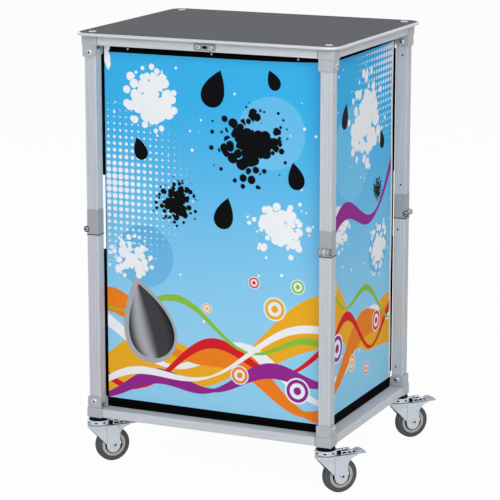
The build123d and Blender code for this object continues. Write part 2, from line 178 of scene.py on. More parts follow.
class Side(Enum):
    """A side of the frame: the middle of its post line, the way along it and its post spacing."""

    FRONT = ("front", (0.0, -POST_Y), (1.0, 0.0), 2 * POST_X)
    RIGHT = ("right", (POST_X, 0.0), (0.0, 1.0), 2 * POST_Y)
    REAR = ("rear", (0.0, POST_Y), (-1.0, 0.0), 2 * POST_X)
    LEFT = ("left", (-POST_X, 0.0), (0.0, -1.0), 2 * POST_Y)

    def __init__(self, label: str, middle: Pair, way: Pair, span: float) -> None:
        """Keep the side's name, frame and post spacing.

        Args:
            label: The side's name.
            middle: The middle of its post line, in plan.
            way: The way along it, in plan.
            span: Its post spacing.
        """
        self.label = label
        self.place = upright(*middle, way)
        self.span = span


# Shader graphs


def arithmetic(operation: str) -> Callable[..., "Field"]:
    """Return a field's method for one arithmetic step.

    Args:
        operation: The math node's operation.

    Returns:
        The method, which takes a second number where the step needs one.
    """
    def method(self: "Field", other: "Value" = 0.0) -> "Field":
        """Return the step's result."""
        return self.graph.math(operation, self, other)

    return method


class Field:
    """A number that varies over a surface, held as a shader socket."""

    __add__ = arithmetic("ADD")
    __sub__ = arithmetic("SUBTRACT")
    __mul__ = arithmetic("MULTIPLY")
    __truediv__ = arithmetic("DIVIDE")
    sine = arithmetic("SINE")
    size = arithmetic("ABSOLUTE")
    root = arithmetic("SQRT")
    smallest = arithmetic("MINIMUM")
    largest = arithmetic("MAXIMUM")

    def __init__(self, graph: "Graph", socket: Socket) -> None:
        """Keep the graph and the socket that gives the number."""
        self.graph = graph
        self.socket = socket

    def less_from(self, other: float) -> "Field":
        """Return a number minus this one."""
        return self.graph.math("SUBTRACT", other, self)

    def rise(self, low: float, high: float) -> "Field":
        """Return a smooth step from 0 at low to 1 at high."""
        return self.spread(low, high, 0.0, 1.0, "SMOOTHSTEP")

    def contrast(self) -> "Field":
        """Return noise spread out to run from 0 to 1."""
        return self.spread(0.3, 0.7, 0.0, 1.0)

    def spread(self, low: float, high: float, start: float, end: float, kind: str = "LINEAR") -> "Field":
        """Map a range of this number onto another range, held at its ends.

        Args:
            low: The value that gives start.
            high: The value that gives end.
            start: The first result.
            end: The last result.
            kind: How it runs between them.

        Returns:
            The mapped number.
        """
        node = self.graph.node("ShaderNodeMapRange", interpolation_type=kind, clamp=True)
        self.graph.feed(node.inputs[0], self)
        for socket, value in zip(node.inputs[1:5], (low, high, start, end)):
            socket.default_value = value
        return Field(self.graph, node.outputs[0])


Value = Union[float, Field]


class Graph:
    """The nodes of one material."""

    def __init__(self, name: str) -> None:
        """Make a material with one surface shader and no other nodes.

        Args:
            name: The material's name.
        """
        self.material = bpy.data.materials.new(name)
        self.material.use_nodes = True
        self.tree = self.material.node_tree
        self.tree.nodes.clear()
        self.surface = self.node("ShaderNodeBsdfPrincipled")
        output = self.node("ShaderNodeOutputMaterial")
        self.tree.links.new(self.surface.outputs[0], output.inputs["Surface"])
        self.coordinates = self.node("ShaderNodeTexCoord")

    def node(self, kind: str, **settings: object) -> bpy.types.ShaderNode:
        """Add a node and set its properties.

        Args:
            kind: The node's type.
            settings: Its properties.

        Returns:
            The node.
        """
        node = self.tree.nodes.new(kind)
        for key, value in settings.items():
            setattr(node, key, value)
        return node

    def feed(self, socket: Socket, value: Union[Value, Socket, Sequence[float]]) -> None:
        """Give an input a number, a colour or another node's output.

        Args:
            socket: The input.
            value: What it gets.
        """
        if isinstance(value, Field):
            self.tree.links.new(value.socket, socket)
        elif isinstance(value, bpy.types.NodeSocket):
            self.tree.links.new(value, socket)
        else:
            socket.default_value = value

    def math(self, operation: str, first: Value, second: Value = 0.0) -> Field:
        """Return the result of one arithmetic step.

        Args:
            operation: The math node's operation.
            first: The first number.
            second: The second number, where the step needs one.

        Returns:
            The result.
        """
        node = self.node("ShaderNodeMath", operation=operation)
        self.feed(node.inputs[0], first)
        self.feed(node.inputs[1], second)
        return Field(self, node.outputs[0])

    def vector(self, x: Value, y: Value, z: Value) -> Socket:
        """Return a vector made of three numbers.

        Args:
            x: The first number.
            y: The second number.
            z: The third number.

        Returns:
            The vector.
        """
        node = self.node("ShaderNodeCombineXYZ")
        for socket, value in zip(node.inputs, (x, y, z)):
            self.feed(socket, value)
        return node.outputs[0]

    def parts(self, vector: Socket) -> tuple[Field, Field, Field]:
        """Return the three numbers of a vector.

        Args:
            vector: The vector.

        Returns:
            The numbers.
        """
        node = self.node("ShaderNodeSeparateXYZ")
        self.feed(node.inputs[0], vector)
        return tuple(Field(self, socket) for socket in node.outputs)

    def stretched(self, scales: Sequence[float] = (1.0, 1.0, 1.0)) -> Socket:
        """Return the place on the piece, scaled along each axis.

        Args:
            scales: The scale along each axis.

        Returns:
            The scaled place.
        """
        node = self.node("ShaderNodeMapping", vector_type="POINT")
        self.feed(node.inputs["Vector"], self.coordinates.outputs["Object"])
        node.inputs["Scale"].default_value = scales
        return node.outputs[0]

    def noise(self, vector: Socket, scale: float, detail: float = 3.0) -> Field:
        """Return soft random mottling.

        Args:
            vector: Where the noise is read.
            scale: How many features there are in a unit of length.
            detail: How many finer layers are added.

        Returns:
            A number near one half.
        """
        node = self.node("ShaderNodeTexNoise")
        self.feed(node.inputs["Vector"], vector)
        node.inputs["Scale"].default_value = scale
        node.inputs["Detail"].default_value = detail
        node.inputs["Roughness"].default_value = FINER_LAYERS
        return Field(self, node.outputs[0])

    def cells(self, vector: Socket, scale: float) -> tuple[Field, Field]:
        """Find the nearest of many scattered points.

        Args:
            vector: Where it is read.
            scale: How many points there are in a unit of length.

        Returns:
            The distance to that point, and the point's own random number.
        """
        node = self.node("ShaderNodeTexVoronoi")
        self.feed(node.inputs["Vector"], vector)
        node.inputs["Scale"].default_value = scale
        tint = self.node("ShaderNodeSeparateColor")
        self.feed(tint.inputs[0], node.outputs["Color"])
        return Field(self, node.outputs["Distance"]), Field(self, tint.outputs[0])

    def layer(self, under: Union[Socket, Colour], over: Union[Socket, Colour], share: Field) -> Socket:
        """Return one colour laid over another by a share.

        Args:
            under: The lower colour.
            over: The upper colour.
            share: How much of the upper one shows.

        Returns:
            The mixed colour.
        """
        node = self.node("ShaderNodeMix", data_type="RGBA")
        self.feed(node.inputs["Factor"], share)
        self.feed(node.inputs[6], under)
        self.feed(node.inputs[7], over)
        return node.outputs[2]

    def tones(
        self, colour: Colour, dark: float, pale: float, mottle: Field, *layers: tuple[float, Field]
    ) -> Socket:
        """Return a colour mottled between two shades of itself, with other shades laid over it.

        Args:
            colour: The colour.
            dark: The factor of the darker shade.
            pale: The factor of the paler shade.
            mottle: The paler shade's share.
            layers: The factor and the share of each shade over them.

        Returns:
            The mottled colour.
        """
        tone = self.layer(shade(colour, dark), shade(colour, pale), mottle)
        for factor, share in layers:
            tone = self.layer(tone, shade(colour, factor), share)
        return tone

    def edges(self, radius: float) -> tuple[Field, Socket]:
        """Find a piece's edges.

        Args:
            radius: How wide an edge is, in metres.

        Returns:
            A number that is 1 on edges and 0 on flats, and the normal with its edges rounded.
        """
        rounded = self.node("ShaderNodeBevel", samples=4)
        rounded.inputs["Radius"].default_value = radius
        true = self.node("ShaderNodeNewGeometry")
        dot = self.node("ShaderNodeVectorMath", operation="DOT_PRODUCT")
        self.feed(dot.inputs[0], rounded.outputs[0])
        self.feed(dot.inputs[1], true.outputs["Normal"])
        return Field(self, dot.outputs["Value"]).spread(0.995, 0.8, 0.0, 1.0), rounded.outputs[0]

    def painted_recess_shade(self, reach: float) -> Field:
        """Find corners and narrow gaps, where the finishes paint shade.

        Args:
            reach: How wide a gap may be, in metres.

        Returns:
            A number that is 1 deep in them and 0 on open faces.
        """
        # Ambient occlusion marks where the finishes paint shade into corners and gaps
        near = self.node("ShaderNodeAmbientOcclusion", samples=6)
        near.inputs["Distance"].default_value = reach
        return Field(self, near.outputs["AO"]).rise(0.5, 0.08)

    def bump(self, height: Field, depth: float, normal: Optional[Socket] = None) -> None:
        """Give the surface relief.

        Args:
            height: The relief's height, from 0 to 1.
            depth: Its depth in metres.
            normal: The normal that it is added to, where that isn't the piece's own.
        """
        node = self.node("ShaderNodeBump")
        node.inputs["Strength"].default_value = 1.0
        node.inputs["Distance"].default_value = depth
        self.feed(node.inputs["Height"], height)
        if normal is not None:
            self.feed(node.inputs["Normal"], normal)
        self.feed(self.surface.inputs["Normal"], node.outputs[0])

    def set(self, **inputs: Union[Value, Socket, Sequence[float]]) -> None:
        """Set the surface shader's inputs, named with underscores."""
        for key, value in inputs.items():
            self.feed(self.surface.inputs[key.replace("_", " ")], value)


# Finishes


class Grain(Enum):
    """The direction that a metal was drawn in, as the noise's scale along each axis."""

    ALONG_X = (9.0, 700.0, 700.0)
    ALONG_Y = (700.0, 9.0, 700.0)
    ALONG_Z = (700.0, 700.0, 9.0)


@dataclass(frozen=True)
class Finish:
    """A finish that paints one material."""

    name: str

    def make(self) -> bpy.types.Material:
        """Make the material.

        Returns:
            The painted material.
        """
        graph = Graph(self.name)
        self.paint(graph)
        return graph.material

    def paint(self, graph: Graph) -> None:
        """Paint the material's nodes, which each finish does in its own way."""
        raise NotImplementedError


@dataclass(frozen=True)
class DrawnMetal(Finish):
    """Anodised metal with fine draw lines along one axis, and paler edges."""

    colour: Colour
    grain: Grain
    metallic: float = 0.08
    roughness: float = 0.5
    cloud_scale: float = 14.0
    edge_width: float = 0.0006
    gap_reach: float = 0.006
    relief: float = 0.00003

    def paint(self, graph: Graph) -> None:
        """Lay draw lines, soft clouds, pale edges, and painted shade in recesses.

        Args:
            graph: The material's nodes.
        """
        lines = graph.noise(graph.stretched(self.grain.value), 1.0)
        clouds = graph.noise(graph.stretched(), self.cloud_scale)
        edge, rounded = graph.edges(self.edge_width)
        painted_gap_shade = graph.painted_recess_shade(self.gap_reach)
        # The last layer paints shade into corners and gaps
        tone = graph.tones(
            self.colour, 0.9, 1.08, lines.contrast(),
            (0.86, clouds.spread(0.5, 0.8, 0.0, 0.4)), (1.3, edge * 0.5), (0.3, painted_gap_shade),
        )
        rough = lines * 0.16 + clouds * 0.08 + (self.roughness - 0.12)
        graph.set(Base_Color=tone, Roughness=rough, Metallic=self.metallic, Specular_IOR_Level=0.22)
        graph.bump(lines, self.relief, rounded)


@dataclass(frozen=True)
class CastMetal(Finish):
    """Tumbled casting with a fine grain and rubbed edges."""

    colour: Colour
    metallic: float = 0.45
    roughness: float = 0.5
    relief: float = 0.00002
    grain_scale: float = 1100.0
    cloud_scale: float = 60.0
    edge_width: float = 0.0008
    gap_reach: float = 0.006

    def paint(self, graph: Graph) -> None:
        """Lay a fine grain, soft clouds, rubbed edges, and painted shade in recesses.

        Args:
            graph: The material's nodes.
        """
        place = graph.stretched()
        grain = graph.noise(place, self.grain_scale)
        clouds = graph.noise(place, self.cloud_scale, detail=4.0)
        edge, rounded = graph.edges(self.edge_width)
        painted_gap_shade = graph.painted_recess_shade(self.gap_reach)
        # The last layer paints shade into corners and gaps
        tone = graph.tones(
            self.colour, 0.95, 1.04, grain.contrast(),
            (0.88, clouds.spread(0.48, 0.75, 0.0, 0.5)), (1.4, edge * 0.55), (0.25, painted_gap_shade),
        )
        rough = grain * 0.12 + clouds * 0.12 - edge * 0.1 + (self.roughness - 0.12)
        graph.set(Base_Color=tone, Roughness=rough, Metallic=self.metallic, Specular_IOR_Level=0.35)
        graph.bump(grain, self.relief, rounded)


@dataclass(frozen=True)
class ZincPlate(Finish):
    """Bright plated steel with faint spangle."""

    colour: Colour
    roughness: float = 0.36
    metallic: float = 0.7
    spangle_scale: float = 320.0
    cloud_scale: float = 110.0
    edge_width: float = 0.0005
    gap_reach: float = 0.012
    relief: float = 0.00001

    def paint(self, graph: Graph) -> None:
        """Lay spangle, soft clouds, bright edges, and painted shade in recesses.

        Args:
            graph: The material's nodes.
        """
        place = graph.stretched()
        _, spangle = graph.cells(place, self.spangle_scale)
        clouds = graph.noise(place, self.cloud_scale, detail=4.0)
        edge, rounded = graph.edges(self.edge_width)
        painted_gap_shade = graph.painted_recess_shade(self.gap_reach)
        # The last layer paints shade into corners and gaps
        tone = graph.tones(
            self.colour, 0.97, 1.03, spangle,
            (0.84, clouds.spread(0.5, 0.78, 0.0, 0.4)), (1.15, edge * 0.6), (0.06, painted_gap_shade),
        )
        rough = clouds * 0.12 + spangle * 0.04 + (self.roughness - 0.08)
        graph.set(Base_Color=tone, Roughness=rough, Metallic=self.metallic)
        graph.bump(clouds, self.relief, rounded)


@dataclass(frozen=True)
class Moulding(Finish):
    """Moulded plastic, rubber or enamel: fine grain, soft mottling, and a film of dust."""

    colour: Colour
    roughness: float = 0.55
    grain_scale: float = 900.0
    relief: float = 0.00004
    dust: float = 0.15
    gloss: float = 0.2
    coat: float = 0.0
    dust_share: float = 0.25
    dust_grey: float = 0.45
    cloud_scale: float = 45.0
    edge_width: float = 0.0005

    def paint(self, graph: Graph) -> None:
        """Lay a fine grain, dust and pale edges.

        Args:
            graph: The material's nodes.
        """
        place = graph.stretched()
        grain = graph.noise(place, self.grain_scale)
        clouds = graph.noise(place, self.cloud_scale, detail=4.0)
        edge, rounded = graph.edges(self.edge_width)
        tone = graph.tones(self.colour, 0.9, 1.08, grain.contrast())
        clean, grey = 1 - self.dust_share, self.dust_share * self.dust_grey
        dusty = tuple(clean * channel + grey for channel in self.colour[:3]) + (1.0,)
        tone = graph.layer(tone, dusty, clouds.spread(0.45, 0.75, 0.0, self.dust))
        tone = graph.layer(tone, shade(self.colour, 1.35), edge * 0.35)
        rough = grain * 0.14 + clouds * 0.14 + (self.roughness - 0.14)
        graph.set(Base_Color=tone, Roughness=rough, Specular_IOR_Level=self.gloss, Coat_Weight=self.coat)
        graph.bump(grain, self.relief, rounded)


@dataclass(frozen=True)
class BoardLaminate(Finish):
    """Dark satin laminate with a pebbled skin, faint rub marks and fine specks."""

    colour: Colour
    roughness: float = 0.56
    pebble_scale: float = 900.0
    cloud_scale: float = 7.0
    rub_stretch: Triple = (6.0, 60.0, 1.0)
    rub_scale: float = 1.6
    relief: float = 0.00006

    def paint(self, graph: Graph) -> None:
        """Lay pebbles, soft clouds and rub marks.

        Args:
            graph: The material's nodes.
        """
        place = graph.stretched()
        pebbles, tint = graph.cells(place, self.pebble_scale)
        clouds = graph.noise(place, self.cloud_scale, detail=4.0)
        streaks = graph.noise(graph.stretched(self.rub_stretch), self.rub_scale, detail=5.0)
        rubs = streaks.spread(0.56, 0.72, 0.0, 1.0)
        layers = (1.16, clouds.spread(0.42, 0.7, 0.0, 0.5)), (1.22, rubs * 0.25)
        tone = graph.tones(self.colour, 0.94, 1.06, tint, *layers)
        rough = clouds * 0.12 - rubs * 0.05 + (self.roughness - 0.06)
        graph.set(Base_Color=tone, Roughness=rough, Specular_IOR_Level=0.03)
        graph.bump(pebbles, self.relief)


@dataclass(frozen=True)
class HookTape(Finish):
    """Black hook-and-loop tape: a dense pile in rows."""

    colour: Colour
    pile_scale: float = 850.0
    row_turns: float = 2600.0
    relief: float = 0.0003

    def paint(self, graph: Graph) -> None:
        """Lay a dark pile with pale tips, in rows.

        Args:
            graph: The material's nodes.
        """
        place = graph.stretched()
        pile, tint = graph.cells(place, self.pile_scale)
        rows = (graph.parts(place)[2] * self.row_turns).sine() * 0.5 + 0.5
        tone = graph.tones(self.colour, 0.6, 1.4, tint, (1.8, pile.spread(0.2, 0.0, 0.0, 0.5)))
        graph.set(Base_Color=tone, Roughness=tint * 0.1 + 0.88, Specular_IOR_Level=0.03)
        graph.bump(pile * 0.7 + rows * 0.3, self.relief)


@dataclass(frozen=True)
class PlainFilm(Finish):
    """White unprinted film: the sheets' backs, edges and corner flap."""

    colour: Colour
    weave_scale: float = 1200.0
    cloud_scale: float = 9.0
    relief: float = 0.00003

    def paint(self, graph: Graph) -> None:
        """Lay soft clouds over a fine weave.

        Args:
            graph: The material's nodes.
        """
        place = graph.stretched()
        weave = graph.noise(place, self.weave_scale, detail=2.0)
        clouds = graph.noise(place, self.cloud_scale, detail=4.0)
        tone = graph.layer(self.colour, shade(self.colour, 0.93), clouds.spread(0.45, 0.75, 0.0, 1.0))
        graph.set(Base_Color=tone, Roughness=weave * 0.1 + clouds * 0.1 + 0.4)
        graph.bump(weave, self.relief)


# Printed design


class Canvas:
    """A printed design, laid down colour by colour in sheet millimetres from the lower left corner."""

    def __init__(self, graph: Graph, width: float, height: float, seed: float) -> None:
        """Read the sheet's own coordinates.

        Args:
            graph: The material's nodes.
            width: The sheet's width.
            height: The sheet's height.
            seed: Shifts the random textures.
        """
        across, up, _ = graph.parts(graph.coordinates.outputs["UV"])
        self.graph = graph
        self.width = width
        self.x = across * width
        self.y = up * height
        self.point = graph.vector(self.x, self.y, seed)
        self.colour: Union[Socket, Colour] = FULL_WHITE

    def lay(self, colour: Union[Socket, Colour], share: Field) -> None:
        """Lay a colour over the design."""
        self.colour = self.graph.layer(self.colour, colour, share)

    def away(self, x: float, y: float) -> Field:
        """Return the distance from a point.

        Args:
            x: The point's place across.
            y: The point's place upwards.

        Returns:
            The distance.
        """
        across = self.x - x
        up = self.y - y
        return (across * across + up * up).root()

    def disc(self, x: float, y: float, radius: float) -> Field:
        """Return a filled circle."""
        return self.away(x, y).rise(radius + 0.8, radius - 0.8)

    def hoop(self, x: float, y: float, radius: float, half: float) -> Field:
        """Return a circle's line, of a half width."""
        return (self.away(x, y) - radius).size().rise(half + 0.6, half - 0.6)

    def ribbon(
        self, level: float, slope: float, swing: float, period: float, phase: float, half: float
    ) -> Field:
        """Return a waving band that swells and thins along its way.

        Args:
            level: Its height at the sheet's left edge.
            slope: How much it climbs for each millimetre.
            swing: How far it waves up and down.
            period: The length of a wave.
            phase: Where its waves start, in radians.
            half: Its greatest half width.

        Returns:
            The band.
        """
        turn = self.x * (2 * math.pi / period) + phase
        middle = turn.sine() * swing + self.x * slope + level
        thin = (turn * 0.5 + 0.7).sine().size() * (0.75 * half) + 0.25 * half
        return ((self.y - middle).size() - thin).rise(0.8, -0.8)

    def drop(self, x: float, y: float, length: float, lean: float) -> tuple[Field, Field]:
        """Draw a water drop with its round end at a point.

        Args:
            x: The round end's place across.
            y: The round end's place upwards.
            length: How long the drop is.
            lean: How far its tail leans from straight up, in degrees.

        Returns:
            The drop, and a number that runs across it from -1 to 1.
        """
        side, rise = math.sin(math.radians(lean)), math.cos(math.radians(lean))
        across = self.x - x
        up = self.y - y
        along = ((across * side + up * rise) / length).smallest(1.0).largest(0.0)
        beside = across * rise - up * side
        half = along.root() * along.less_from(1.0) * (0.85 * length) - 1.0
        return (beside.size() - half).rise(0.7, -0.7), beside / half.largest(0.01)

    def splash(self, x: float, y: float, radius: float, pitch: float) -> Field:
        """Return a splash of round drops, which run together in its middle and thin out around it.

        Args:
            x: Its middle across.
            y: Its middle upwards.
            radius: How far its body reaches.
            pitch: The drops' spacing.

        Returns:
            The splash.
        """
        gap, tint = self.graph.cells(self.point, 1 / pitch)
        size = (tint * 0.5 + 0.5) * (self.away(x, y) / radius).spread(0.3, 1.5, 1.3, 0.0)
        return (gap - size).rise(0.04, -0.04)

    def specks(self, pitch: float, most: float) -> Field:
        """Return scattered round specks.

        Args:
            pitch: Their mean spacing.
            most: The largest one's radius.

        Returns:
            The specks.
        """
        away, tint = self.graph.cells(self.point, 1 / pitch)
        size = tint.spread(0.45, 1.0, 0.0, most / pitch)
        return (away - size).rise(0.02, -0.02)

    def halftone(self, pitch: float, size: Field) -> Field:
        """Return rows of dots.

        Args:
            pitch: Their spacing.
            size: Their radius, as a share of the pitch.

        Returns:
            The dots.
        """
        across = self.graph.math("FRACT", self.x / pitch) - 0.5
        up = self.graph.math("FRACT", self.y / pitch) - 0.5
        return ((across * across + up * up).root() - size).rise(0.06, -0.06)

    def margin(self, edge: float, width: float) -> Field:
        """Return an unprinted margin along an upright edge: 0 for the left one, 1 for the right one."""
        return (self.x - edge * self.width).size().rise(width + 0.3, width - 0.3)


SKY = display(58, 176, 232)
PALE_SKY = display(146, 208, 240)
DEEP_SKY = display(20, 142, 208)
WHITE = display(238, 240, 243)
GOLD = display(236, 172, 38)
ORANGE = display(238, 128, 34)
CRIMSON = display(212, 32, 40)
PURPLE = display(146, 42, 140)
GREEN = display(138, 190, 62)
INK = display(7, 8, 10)
GRAPHITE = display(62, 63, 67)
ASH = display(168, 170, 174)


@dataclass(frozen=True)
class PrintedFilm(Finish):
    """Printed film with a design of its own: sky, water splashes, drops and waving bands."""

    width: float
    height: float
    seed: float
    splashes: Sequence[Triple]
    inks: Sequence[Triple]
    drops: Sequence[tuple[float, float, float, float]]
    stones: Sequence[tuple[float, float, float, float]]
    bands: Sequence[tuple[Colour, float, float, float, float, float, float]]
    bubbles: Sequence[tuple[float, float, float, Colour]]
    dotted: Triple
    bare_edge: Optional[float] = None
    bare_width: float = 9.0
    glow_drop: Pair = (60.0, 30.0)
    glow_size: float = 1.15
    glow_share: float = 0.35
    dot_pitch: float = 15.0
    dot_size: float = 0.46
    splash_pitch: float = 0.3
    ink_pitch: float = 0.26
    speck_pitch: float = 27.0
    speck_size: float = 4.2
    weave_scale: float = 1300.0
    cloud_scale: float = 12.0
    relief: float = 0.00003

    def paint(self, graph: Graph) -> None:
        """Lay the design colour by colour, over a fine weave.

        Args:
            graph: The material's nodes.
        """
        canvas = Canvas(graph, self.width, self.height, self.seed)
        self.sky(canvas)
        self.water(canvas)
        self.waves(canvas)
        self.dark_shapes(canvas)
        if self.bare_edge is not None:
            canvas.lay(WHITE, canvas.margin(self.bare_edge, self.bare_width))
        place = graph.stretched()
        weave = graph.noise(place, self.weave_scale, detail=2.0)
        clouds = graph.noise(place, self.cloud_scale)
        rough = weave * 0.08 + clouds * 0.12 + 0.48
        graph.set(Base_Color=canvas.colour, Roughness=rough, Specular_IOR_Level=0.05)
        graph.bump(weave, self.relief)

    def sky(self, canvas: Canvas) -> None:
        """Lay a sky that pales downwards, with broad soft rounds in it.

        Args:
            canvas: The design.
        """
        canvas.colour = canvas.graph.layer(PALE_SKY, SKY, (canvas.y / self.height).rise(0.15, 0.92))
        drop, further = self.glow_drop
        for index, (x, y, radius) in enumerate(self.splashes):
            share = canvas.disc(self.width - x, y - drop - further * index, self.glow_size * radius)
            canvas.lay(DEEP_SKY if index % 2 else PALE_SKY, share * self.glow_share)

    def water(self, canvas: Canvas) -> None:
        """Lay white splashes, specks and halftone dots.

        Args:
            canvas: The design.
        """
        x, y, reach = self.dotted
        fade = canvas.away(x, y).spread(0.0, reach, self.dot_size, 0.0)
        canvas.lay(WHITE, canvas.halftone(self.dot_pitch, fade))
        for x, y, radius in self.splashes:
            canvas.lay(WHITE, canvas.splash(x, y, radius, self.splash_pitch * radius))
        canvas.lay(WHITE, canvas.specks(self.speck_pitch, self.speck_size))

    def waves(self, canvas: Canvas) -> None:
        """Lay waving bands and bubbles.

        Args:
            canvas: The design.
        """
        for colour, *numbers in self.bands:
            canvas.lay(colour, canvas.ribbon(*numbers))
        for x, y, radius, colour in self.bubbles:
            canvas.lay(WHITE, canvas.disc(x, y, radius) * 0.9)
            canvas.lay(colour, canvas.hoop(x, y, 0.74 * radius, 0.13 * radius))
            canvas.lay(colour, canvas.disc(x, y, 0.3 * radius))

    def dark_shapes(self, canvas: Canvas) -> None:
        """Lay ink splashes, ink drops and large shaded stones.

        Args:
            canvas: The design.
        """
        for x, y, radius in self.inks:
            canvas.lay(INK, canvas.splash(x, y, radius, self.ink_pitch * radius))
        for x, y, length, lean in self.drops:
            canvas.lay(INK, canvas.drop(x, y, length, lean)[0])
        for x, y, length, lean in self.stones:
            whole, across = canvas.drop(x, y, length, lean)
            inner, _ = canvas.drop(x, y + 0.05 * length, 0.86 * length, lean)
            canvas.lay(ASH, whole)
            shaded = canvas.graph.layer(ASH, GRAPHITE, (across + 0.35).size().rise(0.0, 0.5))
            canvas.lay(canvas.graph.layer(shaded, INK, across.size().rise(0.55, 1.0)), inner)


# Meshes


class Outline(Enum):
    """The shape of a level of a turned piece, seen along its axis."""

    ROUND = "round"
    HEX = "hex"
    CROSS = "cross"
    RIBBED = "ribbed"
    SLOT = "slot"

    def radius(self, angle: float, size: float) -> float:
        """Return the outline's distance from its middle.

        Args:
            angle: Direction from the middle, in radians.
            size: Radius, half the width across flats, or half the length.

        Returns:
            The distance.
        """
        across = max(abs(math.cos(angle)), 1e-6)
        up = max(abs(math.sin(angle)), 1e-6)
        if self is Outline.HEX:
            return size / math.cos((angle + math.pi / 6) % (math.pi / 3) - math.pi / 6)
        if self is Outline.CROSS:
            arm = CROSS_ARM * size
            return max(min(size / across, arm / up), min(arm / across, size / up))
        if self is Outline.RIBBED:
            return size * (1 + RIB_DEPTH * math.cos(RIBS * angle))
        if self is Outline.SLOT:
            half = size / 2
            flat = half / up
            end = half * across + math.sqrt(max(half * half * (1 - up * up), 0.0))
            return flat if flat * across <= half else end
        return size


Level = tuple[Outline, float, float, int]


def stack(*steps: Pair, outline: Outline = Outline.ROUND, paint: int = 0) -> list[Level]:
    """Return levels of one outline, each given by its size and height."""
    return [(outline, size, height, paint) for size, height in steps]


class Shell:
    """The vertices and faces of one piece, drawn in local millimetres and kept in metres."""

    def __init__(self, name: str) -> None:
        """Start an empty piece.

        Args:
            name: The piece's name.
        """
        self.name = name
        self.points: list[Vector] = []
        self.faces: list[list[int]] = []
        self.paints: list[int] = []

    def face(self, corners: Iterable[int], paint: int) -> None:
        """Add one face."""
        self.faces.append(list(corners))
        self.paints.append(paint)

    def loft(self, rings: Sequence[Sequence[Vector]], paints: Sequence[int], looped: bool = False) -> None:
        """Join rings of points into a closed surface.

        Args:
            rings: Rings with the same number of points, in metres.
            paints: The material of the faces that lead up to each ring.
            looped: Whether the last ring joins the first one, in place of flat ends.
        """
        start = len(self.points)
        count = len(rings[0])
        for ring in rings:
            self.points.extend(ring)
        pairs = list(zip(range(len(rings) - 1), range(1, len(rings))))
        if looped:
            pairs.append((len(rings) - 1, 0))
        for lower, upper in pairs:
            for step in range(count):
                after = (step + 1) % count
                low, high = start + lower * count, start + upper * count
                self.face((low + step, low + after, high + after, high + step), paints[upper])
        if not looped:
            self.face((start + step for step in reversed(range(count))), paints[0])
            top = start + (len(rings) - 1) * count
            self.face((top + step for step in range(count)), paints[-1])

    def turned(self, levels: Sequence[Level], place: Matrix, count: int = 36, looped: bool = False) -> None:
        """Add a piece made of outlines stacked along the local Z axis.

        Args:
            levels: Each level's outline, size, height and material.
            place: Where the piece stands.
            count: How many points go round it.
            looped: Whether it is a ring, with its last level joined to its first.
        """
        rings = []
        for outline, size, height, _ in levels:
            angles = [2 * math.pi * (step + 0.5) / count for step in range(count)]
            spokes = [(angle, outline.radius(angle, size)) for angle in angles]
            rings.append([place @ Vector((r * math.cos(a), r * math.sin(a), height)) for a, r in spokes])
        self.loft(rings, [level[3] for level in levels], looped)

    def bar(self, low: Sequence[float], high: Sequence[float], edge: float, place: Matrix) -> None:
        """Add a bar along local X with chamfered edges, between two opposite corners.

        Args:
            low: The lowest corner.
            high: The highest corner.
            edge: The chamfers' size.
            place: The frame that the corners are given in.
        """
        rings = []
        for x, inset in ((low[0], edge), (low[0] + edge, 0.0), (high[0] - edge, 0.0), (high[0], edge)):
            near, far = low[1] + inset, high[1] - inset
            bottom, top = low[2] + inset, high[2] - inset
            corners = (
                (near + edge, bottom), (far - edge, bottom), (far, bottom + edge), (far, top - edge),
                (far - edge, top), (near + edge, top), (near, top - edge), (near, bottom + edge),
            )
            rings.append([place @ Vector((x, y, z)) for y, z in corners])
        self.loft(rings, [0] * len(rings))

    def band(self, low: Sequence[float], high: Sequence[float], depth: float, place: Matrix) -> None:
        """Add a thin square band round local X.

        Args:
            low: The lowest outer corner.
            high: The highest outer corner.
            depth: How deep it reaches inwards.
            place: The frame that the corners are given in.
        """
        rings = []
        for x, inset in ((low[0], depth), (low[0], 0.0), (high[0], 0.0), (high[0], depth)):
            near, far = low[1] + inset, high[1] - inset
            bottom, top = low[2] + inset, high[2] - inset
            corners = ((near, bottom), (far, bottom), (far, top), (near, top))
            rings.append([place @ Vector((x, y, z)) for y, z in corners])
        self.loft(rings, [0] * len(rings), looped=True)

    def finish(self, materials: Sequence[bpy.types.Material], body: str) -> bpy.types.Object:
        """Make the object, smooth it and set it on its body.

        Args:
            materials: The piece's materials.
            body: The CAD body that it rides on.

        Returns:
            The finished object.
        """
        mesh = bpy.data.meshes.new(self.name)
        mesh.from_pydata([tuple(point) for point in self.points], [], self.faces)
        for material in materials:
            mesh.materials.append(material)
        mesh.polygons.foreach_set("material_index", self.paints)
        mesh.polygons.foreach_set("use_smooth", [True] * len(self.faces))
        mesh.update()
        mesh.set_sharp_from_angle(angle=math.radians(SHARP_ANGLE))
        piece = bpy.data.objects.new(self.name, mesh)
        bpy.context.collection.objects.link(piece)
        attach(piece, body)
        LOG.info("piece %s rides on %s", self.name, body)
        return piece


def dress(material: bpy.types.Material, *nodes: str) -> None:
    """Give CAD nodes a material.

    Args:
        material: The material.
        nodes: The nodes' names.
    """
    for node in nodes:
        piece = frame["nodes"][node]
        if not piece.material_slots:
            piece.data.materials.append(material)
        for place in piece.material_slots:
            place.material = material
        LOG.info("node %s wears %s", node, material.name)


def bell(value: float, middle: float, reach: float) -> float:
    """Return a bell curve that is 1 at its middle."""
    return math.exp(-(((value - middle) / reach) ** 2))


